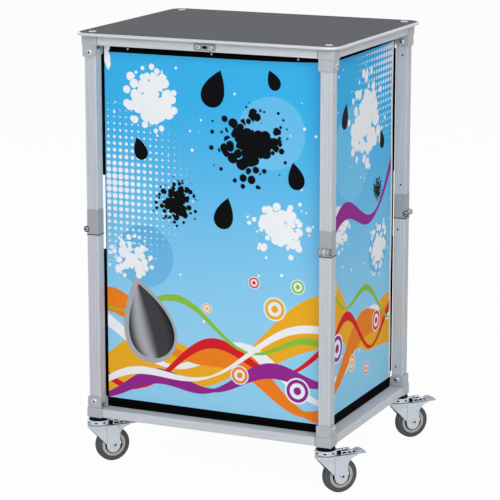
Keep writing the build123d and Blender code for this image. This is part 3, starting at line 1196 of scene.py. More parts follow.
@dataclass(frozen=True)
class ScrewHead:
    """A domed screw head with a cross recess: its radius, its crown's rise and its seat's depth."""

    radius: float
    rise: float
    seat: float

    def levels(self) -> list[Level]:
        """Return the head's levels.

        Returns:
            The levels, from the seat up and into the recess.
        """
        recess = 0.5 * self.radius
        crown = ((1.0, 0.12), (0.95, 0.42), (0.8, 0.78), (0.6, 0.97))
        dome = ((share * self.radius, lift * self.rise) for share, lift in crown)
        return [
            *stack((self.radius, -self.seat), *dome),
            (Outline.CROSS, recess, self.rise, 0),
            # The recess's walls and bottom wear the dark steel: painted shade
            (Outline.CROSS, 0.92 * recess, 0.25 * self.rise, 1),
        ]


# Sub-assemblies


class Palette:
    """All the finishes of the station."""

    def __init__(self) -> None:
        """Make every material once."""
        silver = display(203, 207, 212)
        self.rail_x = DrawnMetal("silver_drawn_x", silver, Grain.ALONG_X).make()
        self.rail_y = DrawnMetal("silver_drawn_y", silver, Grain.ALONG_Y).make()
        self.post = DrawnMetal("silver_drawn_z", display(196, 200, 206), Grain.ALONG_Z).make()
        self.rim = DrawnMetal(
            "silver_rim", display(208, 212, 217), Grain.ALONG_X, metallic=0.3, roughness=0.44
        ).make()
        self.bracket = CastMetal("cast_bracket", display(178, 182, 187), metallic=0.15).make()
        self.knee = CastMetal(
            "cast_knee", display(162, 166, 171), metallic=0.15, roughness=0.6, relief=0.00004
        ).make()
        self.barrel = CastMetal(
            "cast_barrel", display(186, 189, 192), metallic=0.3, roughness=0.45
        ).make()
        self.plate = CastMetal("catch_steel", display(146, 150, 154), metallic=0.7, roughness=0.4).make()
        self.zinc = ZincPlate("zinc_plate", display(197, 205, 213)).make()
        self.bolt = ZincPlate("bolt_steel", display(196, 200, 205), roughness=0.3).make()
        # Dark steel for the rivets; the same steel paints shade in recesses, sockets and drilled ends, and
        # the dark lines on the forks
        self.recess = ZincPlate("dark_steel_and_recess_shade", display(62, 64, 68), roughness=0.45).make()
        # Painted shade: the dark lines where the rails meet their corner blocks
        self.seam = ZincPlate("seam_shade_steel", display(112, 115, 119), roughness=0.5).make()
        self.hub = Moulding("hub_plastic", display(180, 178, 176), roughness=0.5).make()
        self.tyre = Moulding(
            "grey_tyre", display(77, 81, 84), roughness=0.74, grain_scale=700.0, relief=0.00008, dust=0.2
        ).make()
        # Black plastic for the collars; the same black paints shade in the board's bead, the catch slot, the
        # hub discs, the knee rings and bands, the pin holes, the head pockets and the brake box
        self.collar = Moulding(
            "black_collar_and_shade", display(10, 10, 11), roughness=0.7, dust=0.03, gloss=0.05
        ).make()
        self.pedal = Moulding(
            "pedal_enamel", display(172, 180, 190),
            roughness=0.36, grain_scale=500.0, relief=0.00003, dust=0.1, gloss=0.4, coat=0.3,
        ).make()
        self.board = BoardLaminate("dark_board", display(94, 95, 99)).make()
        self.tape = HookTape("hook_tape", display(6, 6, 7)).make()
        self.film = PlainFilm("white_film", display(246, 245, 248)).make()


@dataclass
class Tabletop:
    """The tabletop's board and rim, its screws, and a dark bead between board and rim that paints the gap's
    shade.
    """

    palette: Palette
    top: float = 996.0
    screw: ScrewHead = ScrewHead(8.5, 2.0, 2.3)
    screw_turn: float = 0.4
    bead_width: float = 622.0
    bead_depth: float = 510.0
    bead_corner: float = 28.0
    bead_half: float = 0.9
    bead_rise: float = 0.35
    bead_sunk: float = 0.4
    bead_steps: int = 8

    def build(self) -> None:
        """Build the pieces and dress the nodes."""
        dress(self.palette.board, "tabletop_board")
        dress(self.palette.rim, "tabletop_rim")
        screws = Shell("tabletop_screw_heads")
        turn = Matrix.Rotation(self.screw_turn, 4, "Z")
        for corner in Corner:
            place = corner.place @ Matrix.Translation((0, 0, self.top)) @ turn
            screws.turned(self.screw.levels(), place, count=64)
        piece = screws.finish((self.palette.bolt, self.palette.recess), "top_frame")
        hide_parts("tabletop_screws")
        self.edge_shade_line()

    def edge_shade_line(self) -> None:
        """Build the dark bead round the board's edge, painted shade for the gap between board and rim."""
        half, rise, sunk = self.bead_half, self.bead_rise, self.bead_sunk
        shoulder = 0.6 * half, 0.7 * rise
        section = (-half, -sunk), (-shoulder[0], shoulder[1]), (0.0, rise), shoulder, (half, -sunk)
        rings = []
        for offset, lift in section:
            ring = []
            for index, (side_x, side_y) in enumerate(((1, 1), (-1, 1), (-1, -1), (1, -1))):
                for step in range(self.bead_steps + 1):
                    angle = math.radians(90 * (index + step / self.bead_steps))
                    radius = self.bead_corner + offset
                    x = side_x * (self.bead_width / 2 - self.bead_corner) + radius * math.cos(angle)
                    y = side_y * (self.bead_depth / 2 - self.bead_corner) + radius * math.sin(angle)
                    ring.append(Vector((x, y, self.top + lift)) * MM)
            rings.append(ring)
        # The dark bead stands in for the shaded gap between board and rim
        edge_shade_line = Shell("board_edge_shade_line")
        edge_shade_line.loft(rings, [0] * len(rings), looped=True)
        edge_shade_line.finish((self.palette.collar,), "top_frame")


@dataclass
class Frame:
    """Rails, corner brackets, posts, pivot bolts, rivets and the catch plate."""

    palette: Palette
    base_pivot: float = 148.5
    top_pivot: float = 951.5
    lug_face: float = 17.0
    bolt_radius: float = 6.0
    shank_radius: float = 4.0
    washer_radius: float = 7.4
    post_face: float = 14.0
    rivet_radius: float = 2.4
    lower_rivets: tuple[float, ...] = (179.0, 511.0)
    upper_rivets: tuple[float, ...] = (618.0, 920.5)
    lower_rivet_x: float = 4.0
    upper_rivet_x: float = -2.0
    base_level: float = 122.0
    rail_half: Pair = (17.1, 10.1)
    block_half: float = 19.0
    seam: float = 0.9
    seam_depth: float = 0.3
    top_level: float = 978.0
    catch_face: float = -19.0
    catch_depth: float = 2.4
    catch_screw: ScrewHead = ScrewHead(4.8, 0.9, 2.35)
    catch_screw_x: float = 15.0
    slot_sunk: float = 2.0
    slot_size: float = 5.95

    def build(self) -> None:
        """Build the pieces and dress the nodes."""
        for side in Side:
            drawn = self.palette.rail_x if side in (Side.FRONT, Side.REAR) else self.palette.rail_y
            dress(drawn, f"base_rail_{side.label}", f"top_rail_{side.label}")
        for corner in Corner:
            dress(self.palette.bracket, f"base_bracket_{corner.label}", f"top_bracket_{corner.label}")
            dress(self.palette.post, f"lower_tube_{corner.label}", f"upper_tube_{corner.label}")
            self.rivets(corner, "lower", self.lower_rivet_x, self.lower_rivets)
            self.rivets(corner, "upper", self.upper_rivet_x, self.upper_rivets)
        self.bolts("base", self.base_pivot, "base")
        self.bolts("top", self.top_pivot, "top_frame")
        self.seam_shades("base", self.base_level, "base")
        self.seam_shades("top", self.top_level, "top_frame")
        self.catch()

    def bolts(self, row: str, pivot: float, body: str) -> None:
        """Build a row of four pivot bolts, each with two button heads, washers and sockets.

        Args:
            row: The row's name.
            pivot: The bolts' height.
            body: The CAD body that they ride on.
        """
        face, head = self.lug_face, self.bolt_radius
        wide = self.washer_radius
        washer = ((self.shank_radius, CLEARANCE), (wide, CLEARANCE), (wide, 0.75))
        button = ((head, 0.8), (head, 1.7), (0.88 * head, 2.6), (0.62 * head, 3.1))
        half: list[Level] = [
            *stack(*((radius, face + rise) for radius, rise in washer + button)),
            (Outline.HEX, 0.4 * head, face + 3.15, 0),
            # The sockets of both heads wear the dark steel: painted shade
            (Outline.HEX, 0.38 * head, face + 1.2, 1),
        ]
        mirrored = [(outline, size, -height, 0) for outline, size, height, _ in reversed(half)]
        mirrored[:2] = [level[:3] + (1,) for level in mirrored[:2]]
        row_of_bolts = Shell(f"{row}_bolt_heads")
        for corner in Corner:
            row_of_bolts.turned(mirrored + half, along_y(corner.place, 0, 0, pivot, 1))
        piece = row_of_bolts.finish((self.palette.bolt, self.palette.recess), body)
        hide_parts(f"{row}_pivot_bolts")

    def seam_shades(self, row: str, level: float, body: str) -> None:
        """Build the thin dark bands where a row of rails meets its corner blocks, which paint the shadow
        line at each joint.

        Args:
            row: The row's name.
            level: The rails' middle height.
            body: The CAD body that they ride on.
        """
        wide, tall = self.rail_half
        shell = Shell(f"{row}_rail_seam_shades")
        for side in Side:
            reach = side.span / 2 - self.block_half
            for low in (-reach, reach - self.seam):
                corners = (low, -wide, level - tall), (low + self.seam, wide, level + tall)
                # A thin dark band at each joint: painted shadow line
                shell.band(*corners, self.seam_depth, side.place)
        shell.finish((self.palette.seam,), body)

    def rivets(self, corner: Corner, half: str, x: float, levels: Sequence[float]) -> None:
        """Build the small dark rivets on a post half's inward face.

        Args:
            corner: The post's corner.
            half: Lower or upper.
            x: The rivets' place across the face.
            levels: The rivets' heights.
        """
        radius = self.rivet_radius
        shape = stack((0.8 * radius, -0.9), (radius, 0.0), (0.85 * radius, 0.4), (0.45 * radius, 0.65))
        rivets = Shell(f"{half}_rivets_{corner.label}")
        for level in levels:
            rivets.turned(shape, along_y(corner.place, x, self.post_face, level, 1), count=20)
        rivets.finish((self.palette.recess,), f"{half}_{corner.label}")

    def catch(self) -> None:
        """Dress the catch plate and build its screws, and a dark piece sunk in its slot that paints the
        slot's shade.
        """
        dress(self.palette.plate, "catch_plate")
        screws = Shell("catch_screws")
        for x in (-self.catch_screw_x, self.catch_screw_x):
            place = along_y(Side.FRONT.place, x, self.catch_face - self.catch_depth, self.top_level, -1)
            screws.turned(self.catch_screw.levels(), place, count=48)
        screws.finish((self.palette.bolt, self.palette.recess), "top_frame")
        # A dark piece in the slot: painted shade
        slot = Shell("catch_slot_shade")
        place = along_y(Side.FRONT.place, 0, self.catch_face + self.slot_sunk, self.top_level, -1)
        size = self.slot_size
        levels = stack((size, -0.2), (size, 0.25), (size - 0.55, 0.3), outline=Outline.SLOT)
        slot.turned(levels, place, count=48)
        slot.finish((self.palette.collar,), "top_frame")


@dataclass
class Knees:
    """Knee sleeves and fittings, with their hinge pins' ends, and dark rings between the knuckles and dark
    bands at the split, which paint the shade there.
    """

    palette: Palette
    sleeve_face: float = 14.2
    pin_x: float = -15.2
    pin_z: float = 550.0
    barrel_radius: float = 7.0
    knuckle_y: float = 4.67
    knuckle_shade_inside: float = 0.5
    knuckle_shade_outside: float = 0.12
    knuckle_shade_half: float = 0.45
    shade_band_low: float = 537.3
    shade_band_high: float = 539.2
    shade_band_half: float = 14.25
    shade_band_depth: float = 0.22

    def build(self) -> None:
        """Build the pieces and dress the nodes."""
        radius = self.barrel_radius
        pin = [
            *stack((1.02 * radius, -0.9), (1.02 * radius, 0.25), (0.7 * radius, 0.3), paint=1),
            *stack((0.68 * radius, 0.9), (0.56 * radius, 1.5), (0.36 * radius, 1.6)),
            # The pin's hole wears the dark material: painted shade
            *stack((0.32 * radius, 0.9), paint=1),
        ]
        inner, outer, thick = radius - self.knuckle_shade_inside, radius + self.knuckle_shade_outside, self.knuckle_shade_half
        # Dark rings in the knuckles' gaps: painted shade
        washer = stack((inner, -thick), (outer, -thick), (outer, thick), (inner, thick), paint=1)
        half = self.shade_band_half
        for corner in Corner:
            dress(self.palette.knee, f"knee_sleeve_{corner.label}")
            dress(self.palette.barrel, f"knee_fitting_{corner.label}")
            hinge = Shell(f"knee_pin_ends_{corner.label}")
            for outward in (-1, 1):
                end = along_y(corner.place, self.pin_x, outward * self.sleeve_face, self.pin_z, outward)
                hinge.turned(pin, end, count=32)
                knuckle = along_y(corner.place, self.pin_x, outward * self.knuckle_y, self.pin_z, 1)
                hinge.turned(washer, knuckle, count=32, looped=True)
            hinge.finish((self.palette.barrel, self.palette.collar), f"upper_{corner.label}")
            # A dark band at the split between sleeve and fitting: painted shadow line
            shade_band = Shell(f"knee_shade_band_{corner.label}")
            upwards = corner.place @ Matrix.Rotation(-math.pi / 2, 4, "Y")
            corners = (self.shade_band_low, -half, -half), (self.shade_band_high, half, half)
            shade_band.band(*corners, self.shade_band_depth, upwards)
            shade_band.finish((self.palette.collar,), f"lower_{corner.label}")


@dataclass
class Casters:
    """Four braked swivel casters, each drawn in its own frame with its wheel towards -X."""

    palette: Palette
    trail_angle: float = 50.0
    trail: float = 34.0
    axle_z: float = 40.0
    fork_half: float = 15.5
    collar_radius: float = 18.0
    collar_low: float = 103.1
    collar_high: float = 110.9
    head_radius: float = 25.0
    head_middle: float = 98.0
    shade_ring_low: float = 91.4
    shade_ring_high: float = 92.9
    shade_ring_inside: float = 1.5
    shade_ring_outside: float = 0.3
    boss_radius: float = 9.0
    rim_inside: float = 19.8
    rim_face: float = 9.25
    web_half: float = 2.5
    shade_disc_sunk: float = 0.2
    shade_disc_front: float = 0.5
    shade_disc_lip: float = 1.8
    shade_disc_bevel: float = 1.6
    bend: Pair = (-70.0, 88.8)
    crest: Pair = (-84.5, 93.6)
    tip: Pair = (-95.0, 86.5)
    ridge_half: float = 8.5
    ridge_thick: float = 0.9
    ridge_sunk: float = 0.4
    ridge_rise: float = 0.55
    ridge_edge: float = 0.3
    ridge_angles: tuple[int, ...] = (-24, -10, 4, 18, 32)
    lever_front: float = -30.0
    lever_rear: float = -67.0
    lever_low: float = 87.1
    lever_high: float = 97.0
    lever_half: float = 11.3
    box_edge: float = 0.6
    cheek_inside: float = 0.3
    cheek_outside: float = 0.9
    cheek_edge: float = 0.3
    strut_half: float = 1.3
    strut_ends: Pair = (-3.6, 4.0)
    strut_rise: float = 5.0
    tie_drop: Pair = (2.2, 0.8)
    crease_x: float = -14.8
    crease_low: float = 45.0
    crease_high: float = 85.5
    crease_half: float = 0.3
    crease_sunk: float = 0.1
    crease_rise: float = 0.12
    crease_edge: float = 0.05
    nut_flat: float = 5.1
    nut_height: float = 3.0
    drill_rim: float = 2.9
    drill_radius: float = 2.7
    drill_depth: float = 0.25
    pockets: int = 8
    pocket_levels: tuple[Pair, ...] = ((3.4, -0.5), (3.4, 0.2), (2.7, 0.3))
    pocket_sunk: float = 0.12
    first_pocket: float = 12.0

    def build(self) -> None:
        """Build the pieces and dress the nodes."""
        angle = math.radians(self.trail_angle)
        dress(self.palette.zinc, "caster_heads")
        for corner in Corner:
            label = corner.label
            place = upright(*corner.centre, (-math.cos(angle), -math.sin(angle)))
            dress(self.palette.zinc, f"fork_{label}")
            dress(self.palette.hub, f"hub_{label}")
            dress(self.palette.tyre, f"tyre_{label}")
            dress(self.palette.pedal, f"pedal_{label}")
            self.collar(label, place)
            self.nuts(label, place)
            self.hub_shades(label, place)
            self.ridges(label, place)
            self.lever(label, place)

    def collar(self, label: str, place: Matrix) -> None:
        """Build the dark ribbed collar, and the dark pockets round the head, which paint shade in cut-outs
        and dark reflections on it.

        Args:
            label: The caster's corner.
            place: The caster's frame.
        """
        radius, low, high = self.collar_radius, self.collar_low, self.collar_high
        ribs = (radius + 2.0, low), (radius + 2.4, low + 0.6), (radius + 1.6, high)
        ring = [
            *stack((radius + CLEARANCE, low)),
            *stack(*ribs, outline=Outline.RIBBED),
            *stack((radius + CLEARANCE, high)),
        ]
        dark_slot = stack(*self.pocket_levels, outline=Outline.SLOT)
        pocket_y = self.head_radius - self.pocket_sunk
        shell = Shell(f"caster_collar_{label}")
        shell.turned(ring, place, count=144, looped=True)
        # Dark pockets on the head: painted shade and painted reflection
        for index in range(self.pockets):
            angle = math.radians(360 / self.pockets * index + self.first_pocket)
            around = place @ Matrix.Rotation(angle, 4, "Z")
            shell.turned(dark_slot, along_y(around, 0, pocket_y, self.head_middle, 1), count=24)
        shell.finish((self.palette.collar,), "base")

    def nuts(self, label: str, place: Matrix) -> None:
        """Build the axle's nuts with its dark drilled ends, a dark ring under the head and dark bars on the
        fork's creases; the dark ends, ring and bars are painted shade.

        Args:
            label: The caster's corner.
            place: The caster's frame.
        """
        flat, crown = self.nut_flat, CLEARANCE + self.nut_height
        nut = [
            *stack((flat, CLEARANCE), (flat + 0.05, crown - 0.4), outline=Outline.HEX),
            *stack((flat - 0.1, crown), (self.drill_rim, crown)),
            # The drilled end wears the dark steel: painted shade
            *stack((self.drill_radius, crown - self.drill_depth), paint=1),
        ]
        inner, outer = self.head_radius - self.shade_ring_inside, self.head_radius + self.shade_ring_outside
        low, high = self.shade_ring_low, self.shade_ring_high
        shade_ring = stack((inner, low), (outer, low), (outer, high), (inner, high))
        near_x, far_x = self.crease_x - self.crease_half, self.crease_x + self.crease_half
        shell = Shell(f"axle_nuts_{label}")
        # A dark ring under the head and dark bars at the creases: painted shade
        marks = Shell(f"fork_shade_lines_{label}")
        marks.turned(shade_ring, place, count=72, looped=True)
        for outward in (-1, 1):
            wall = outward * self.fork_half
            shell.turned(nut, along_y(place, -self.trail, wall, self.axle_z, outward), count=48)
            near, far = sorted((wall - self.crease_sunk * outward, wall + self.crease_rise * outward))
            corners = (near_x, near, self.crease_low), (far_x, far, self.crease_high)
            marks.bar(*corners, self.crease_edge, place)
        shell.finish((self.palette.bolt, self.palette.recess), f"swivel_{label}")
        marks.finish((self.palette.recess,), f"swivel_{label}")

    def hub_shades(self, label: str, place: Matrix) -> None:
        """Build dark discs in the hollows on both sides of the hub, which paint the shade in them.

        Args:
            label: The caster's corner.
            place: The caster's frame.
        """
        inside, outside = self.boss_radius + CLEARANCE, self.rim_inside - CLEARANCE
        back, lip = self.web_half - self.shade_disc_sunk, self.rim_face + CLEARANCE
        front = self.rim_face + self.shade_disc_front
        shade_disc = stack(
            (inside, back), (outside, back), (outside, lip),
            (outside + self.shade_disc_lip, lip), (outside + self.shade_disc_bevel, front), (inside, front),
        )
        shell = Shell(f"hub_shade_discs_{label}")
        for outward in (-1, 1):
            # Dark discs in the hub's hollows: painted shade
            shell.turned(shade_disc, along_y(place, -self.trail, 0, self.axle_z, outward), count=64, looped=True)
        shell.finish((self.palette.collar,), f"wheel_{label}")

    def ridges(self, label: str, place: Matrix) -> None:
        """Build the foot plate's grip ridges along its curve.

        Args:
            label: The caster's corner.
            place: The caster's frame.
        """
        ax, az = self.bend
        bx, bz = self.crest
        cx, cz = self.tip
        # The middle of the circle through the curve's three points
        cross = 2 * (ax * (bz - cz) + bx * (cz - az) + cx * (az - bz))
        squares = (ax * ax + az * az, bx * bx + bz * bz, cx * cx + cz * cz)
        middle_x = (squares[0] * (bz - cz) + squares[1] * (cz - az) + squares[2] * (az - bz)) / cross
        middle_z = (squares[0] * (cx - bx) + squares[1] * (ax - cx) + squares[2] * (bx - ax)) / cross
        radius = math.hypot(bx - middle_x, bz - middle_z)
        shell = Shell(f"pedal_ridges_{label}")
        for degrees in self.ridge_angles:
            turn = Matrix.Rotation(math.radians(-degrees), 4, "Y")
            top = place @ Matrix.Translation((middle_x, 0, middle_z)) @ turn
            side = top @ Matrix.Rotation(math.pi / 2, 4, "Z")
            low = (-self.ridge_half, -self.ridge_thick, radius - self.ridge_sunk)
            high = (self.ridge_half, self.ridge_thick, radius + self.ridge_rise)
            shell.bar(low, high, self.ridge_edge, side)
        shell.finish((self.palette.pedal,), f"pedal_{label}")

    def lever(self, label: str, place: Matrix) -> None:
        """Build a dark box on the pedal's arm, which paints the shade among the brake's parts, and the
        plated cheeks on both sides of it.

        Args:
            label: The caster's corner.
            place: The caster's frame.
        """
        front, rear = self.lever_front, self.lever_rear
        low, high, half = self.lever_low, self.lever_high, self.lever_half
        inside, outside, edge = half - self.cheek_inside, half + self.cheek_outside, self.cheek_edge
        # The cheeks' rails, each from, to, bottom and top
        upper_rail = rear + 4.0, front - 3.0, high - 3.0, high - 0.6
        lower_rail = rear, front, low + 1.2, low + 3.0
        # The struts' places and leans in degrees, and the ties' front ends and widths
        struts = (front - 3.0, 0.0), (front - 17.0, 38.0), (rear + 9.0, 44.0)
        ties = (front - 3.5, 3.0), (front - 21.0, 8.0)
        slim, (foot, head) = self.strut_half, self.strut_ends
        tie_low, tie_high = (high - drop for drop in self.tie_drop)
        # A dark box among the brake's parts: painted shade
        shade_box = Shell(f"brake_shade_box_{label}")
        shade_box.bar((rear, -half, low), (front - 1.0, half, high - 5.0), self.box_edge, place)
        shade_box.finish((self.palette.collar,), f"pedal_{label}")
        cheeks = Shell(f"brake_cheeks_{label}")
        for outward in (-1, 1):
            near, far = sorted((outward * inside, outward * outside))
            for start, end, bottom, top in (upper_rail, lower_rail):
                cheeks.bar((start, near, bottom), (end, far, top), edge, place)
            for x, lean in struts:
                tilt = Matrix.Rotation(math.radians(lean), 4, "Y")
                strut = place @ Matrix.Translation((x, 0, low + self.strut_rise)) @ tilt
                cheeks.bar((-slim, near, foot), (slim, far, head), edge, strut)
        for x, width in ties:
            cheeks.bar((x - width, -half, tie_low), (x, half, tie_high), edge, place)
        cheeks.finish((self.palette.zinc,), f"pedal_{label}")


# How far the tapes start from the post's middle at each sheet's two ends
TAPE_GAPS = {Side.FRONT: (8.0, 14.5), Side.RIGHT: (18.2, 14.1), Side.LEFT: (8.0, 18.2)}
# The return beside the rear right post: from, to, and the depth that it reaches
TAPE_RETURN = ((168.0, 495.0, 14.6), (495.0, 650.0, 15.5), (650.0, 936.0, 14.2))


@dataclass
class Sheets:
    """Three printed sheets on hook strips, with the tapes along their edges."""

    palette: Palette
    low: float = 151.0
    high: float = 948.0
    face: float = 16.3
    thickness: float = 0.6
    edge_gap: float = 20.0
    bow: float = 1.1
    swell_power: float = 0.7
    ripple_turns: Pair = (5.2, 2.6)
    ripple_share: float = 0.25
    columns: int = 26
    rows: int = 40
    folded_share: float = 0.026
    tape_far: float = 27.0
    tape_front: float = 17.1
    tape_back: float = 18.0
    tape_edge: float = 0.2
    tape_foot: float = 134.0
    tape_head: float = 966.0
    knee_low: float = 501.0
    knee_high: float = 671.0
    return_width: float = 0.9
    front_lift: Triple = (2.8, 2.3, 5.0)
    right_lift: Triple = (4.2, 2.0, 4.0)
    right_slack: tuple[Triple, ...] = ((5.5, 0.84, 0.2), (3.5, 0.30, 0.15))
    flap_low: float = 911.0
    flap_high: float = 966.0
    flap_left: float = -263.0
    flap_slant: float = 8.0
    flap_width: Pair = (2.0, 13.0)
    flap_notch: Triple = (4.0, 0.72, 0.12)
    flap_steps: int = 16
    flap_stations: tuple[float, ...] = (0.0, 0.33, 0.66, 1.0)
    screw_margin: float = 78.0
    base_screw: Triple = (0, 12, 132)
    top_screw: Triple = (0, 17, 959)
    strip_screw: ScrewHead = ScrewHead(2.3, 0.6, 0.4)

    def build(self) -> None:
        """Build the sheets, tapes and screws, and dress the strips."""
        dress(self.palette.tape, "base_hook_strips", "top_hook_strips")
        for side, film in self.designs().items():
            tapes = self.tapes(side)
            flap = [self.flap()] if side is Side.FRONT else []
            self.sheet(side, film, tapes + flap)
        self.strip_screws("base", Matrix.Translation(self.base_screw), "base")
        self.strip_screws("top", along_y(Matrix(), *self.top_screw, -1), "top_frame")

    def designs(self) -> dict[Side, bpy.types.Material]:
        """Return each sheet's printed film.

        Returns:
            The film of each side.
        """
        wide, narrow = (side.span - 2 * self.edge_gap for side in (Side.FRONT, Side.RIGHT))
        tall = self.high - self.low
        front = PrintedFilm(
            "printed_front", wide, tall, 3,
            splashes=((120, 700, 70), (430, 430, 62), (60, 330, 48)),
            inks=((352, 610, 78), (175, 470, 46)),
            drops=(
                (470, 520, 62, -12), (255, 690, 88, 20), (420, 735, 48, -25),
                (285, 420, 74, 14), (95, 560, 54, -18),
            ),
            stones=((128, 96, 205, -16),),
            bands=(
                (GOLD, 40, 0.30, 34, 430, 0.4, 60), (WHITE, 150, -0.12, 40, 380, 2.2, 16),
                (ORANGE, 210, -0.34, 26, 300, 1, 30), (CRIMSON, 60, 0.2, 44, 360, 3.4, 12),
                (GREEN, 250, -0.2, 36, 330, 4.4, 8), (PURPLE, 24, 0.16, 20, 280, 5.2, 18),
                (WHITE, 20, 0.34, 30, 410, 0.9, 9),
            ),
            bubbles=(
                (415, 250, 27, GOLD), (470, 305, 17, GREEN), (365, 305, 14, CRIMSON),
                (330, 90, 22, ORANGE), (470, 70, 30, PURPLE), (250, 235, 12, GOLD),
            ),
            dotted=(20, 500, 210),
        )
        right = PrintedFilm(
            "printed_right", narrow, tall, 8,
            splashes=((250, 640, 95), (90, 420, 50), (330, 330, 55)),
            inks=((318, 470, 26),),
            drops=((110, 640, 60, 15), (350, 560, 46, -14)),
            stones=(),
            bands=(
                (GOLD, 250, -0.35, 38, 400, 1.4, 62), (PURPLE, 350, 0.42, 60, 420, 0.2, 20),
                (WHITE, 90, 0.22, 36, 330, 2.6, 14), (ORANGE, 60, 0.36, 28, 340, 4, 34),
                (CRIMSON, 180, -0.1, 46, 300, 5, 11), (GREEN, 300, -0.3, 30, 280, 2, 8),
            ),
            bubbles=(
                (80, 150, 34, PURPLE), (170, 95, 20, GOLD), (320, 160, 26, CRIMSON),
                (60, 290, 16, GREEN), (260, 60, 16, ORANGE),
            ),
            dotted=(400, 780, 250),
            bare_edge=1,
        )
        left = PrintedFilm(
            "printed_left", narrow, tall, 14,
            splashes=((130, 560, 85), (300, 710, 60), (300, 380, 48)),
            inks=((110, 350, 30),),
            drops=((290, 560, 66, -16), (70, 690, 50, 18)),
            stones=(),
            bands=(
                (GOLD, 60, 0.36, 36, 410, 0.8, 58), (CRIMSON, 260, -0.2, 48, 350, 1.6, 16),
                (WHITE, 190, -0.16, 40, 320, 3.2, 13), (ORANGE, 180, -0.34, 30, 330, 4.6, 32),
                (PURPLE, 40, 0.2, 40, 300, 2.4, 14), (GREEN, 330, -0.26, 26, 290, 0.3, 8),
            ),
            bubbles=(
                (330, 140, 34, GREEN), (240, 90, 20, GOLD), (90, 170, 26, PURPLE),
                (350, 270, 16, CRIMSON), (150, 60, 16, ORANGE),
            ),
            dotted=(10, 790, 240),
            bare_edge=0,
        )
        return {Side.FRONT: front.make(), Side.RIGHT: right.make(), Side.LEFT: left.make()}

    def settle(self, piece: bpy.types.Object) -> None:
        """Give a piece of the sheets a mesh of its own."""
        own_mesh(piece)

    def sheet(self, side: Side, film: bpy.types.Material, pieces: list[bpy.types.Object]) -> None:
        """Build one sheet: a thin closed skin that bows out a little between its edges.

        Args:
            side: The side that it closes.
            film: Its printed material.
            pieces: The tapes and flap on it; not used.
        """
        half = side.span / 2 - self.edge_gap
        width, height = 2 * half, self.high - self.low
        shell = Shell(f"{side.label}_print")
        spots: list[Pair] = []
        along, up = self.ripple_turns
        even = 1 - self.ripple_share
        for back in (0.0, self.thickness):
            for row in range(self.rows + 1):
                for column in range(self.columns + 1):
                    u, v = column / self.columns, row / self.rows
                    arch_u, arch_v = math.sin(math.pi * u), math.sin(math.pi * v)
                    swell = arch_u ** self.swell_power * arch_v ** self.swell_power
                    ripple = math.sin(along * u + up * v) * arch_v
                    depth = self.face + back - self.bow * (even * swell + self.ripple_share * swell * ripple)
                    foot, head, slack = self.hang(side, u, v)
                    level = self.low + foot + (height + head - foot) * v
                    shell.points.append(side.place @ Vector((-half + (width - slack) * u, depth, level)))
                    spots.append((u, v))
        across = self.columns + 1
        layer = across * (self.rows + 1)
        for row in range(self.rows):
            for column in range(self.columns):
                corner = row * across + column
                quad = (corner, corner + 1, corner + across + 1, corner + across)
                shell.face(quad, 0)
                shell.face(tuple(layer + index for index in reversed(quad)), 1)
        rim = list(range(across))
        rim += [row * across + self.columns for row in range(1, self.rows + 1)]
        rim += [self.rows * across + column for column in reversed(range(self.columns))]
        rim += [row * across for row in reversed(range(1, self.rows))]
        for index, first in enumerate(rim):
            second = rim[(index + 1) % len(rim)]
            shell.face((second, first, layer + first, layer + second), 1)
        piece = shell.finish((film, self.palette.film), "base")
        marks = piece.data.uv_layers.new(name="sheet")
        for loop in piece.data.loops:
            marks.data[loop.index].uv = spots[loop.vertex_index]
        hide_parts(f"{side.label}_sheet")
        self.settle(piece)

    def hang(self, side: Side, u: float, v: float) -> tuple[float, float, float]:
        """Return how a sheet hangs off its level place.

        Args:
            side: The sheet's side.
            u: The share of the way along it.
            v: The share of the way up it.

        Returns:
            How far its lower edge and its upper edge are raised, and how much its far edge is drawn in.
        """
        if side is Side.FRONT:
            foot, head, peak = self.front_lift
            return foot * (1 - u), head + peak * u ** 6, 0.0
        if side is Side.RIGHT:
            foot, head, peak = self.right_lift
            slack = sum(depth * bell(v, middle, reach) for depth, middle, reach in self.right_slack)
            return foot, head + peak * u ** 3, slack
        return 0.0, 0.0, 0.0

    def tapes(self, side: Side) -> list[bpy.types.Object]:
        """Build the black tapes behind a sheet's upright edges.

        The front sheet's tapes leave the knees open. Where a post folds through the sheet's plane, the tape
        stops short of it. At the front posts the side sheets' tapes stop short of the front sheet's tapes,
        and at the rear right post the tape has a return that closes the gap beside the post.

        Args:
            side: The sheet's side.

        Returns:
            The tapes.
        """
        runs = [(self.tape_foot, self.tape_head)]
        if side is Side.FRONT:
            runs = [(self.tape_foot, self.knee_low), (self.knee_high, self.tape_head)]
        upright_bar = side.place @ Matrix.Rotation(-math.pi / 2, 4, "Y")
        pieces = []
        for end, label, gap in zip((-1, 1), ("start", "end"), TAPE_GAPS[side]):
            inner, outer = sorted(end * (side.span / 2 - edge) for edge in (self.tape_far, gap))
            shell = Shell(f"{side.label}_edge_tapes_{label}")
            for low, high in runs:
                corners = (low, self.tape_front, -outer), (high, self.tape_back, -inner)
                shell.bar(*corners, self.tape_edge, upright_bar)
            if side is Side.RIGHT and label == "end":
                for low, high, reach in TAPE_RETURN:
                    corners = (low, reach, -outer), (high, self.tape_back, self.return_width - outer)
                    shell.bar(*corners, self.tape_edge, upright_bar)
            piece = shell.finish((self.palette.tape,), "base")
            self.settle(piece)
            pieces.append(piece)
        return pieces

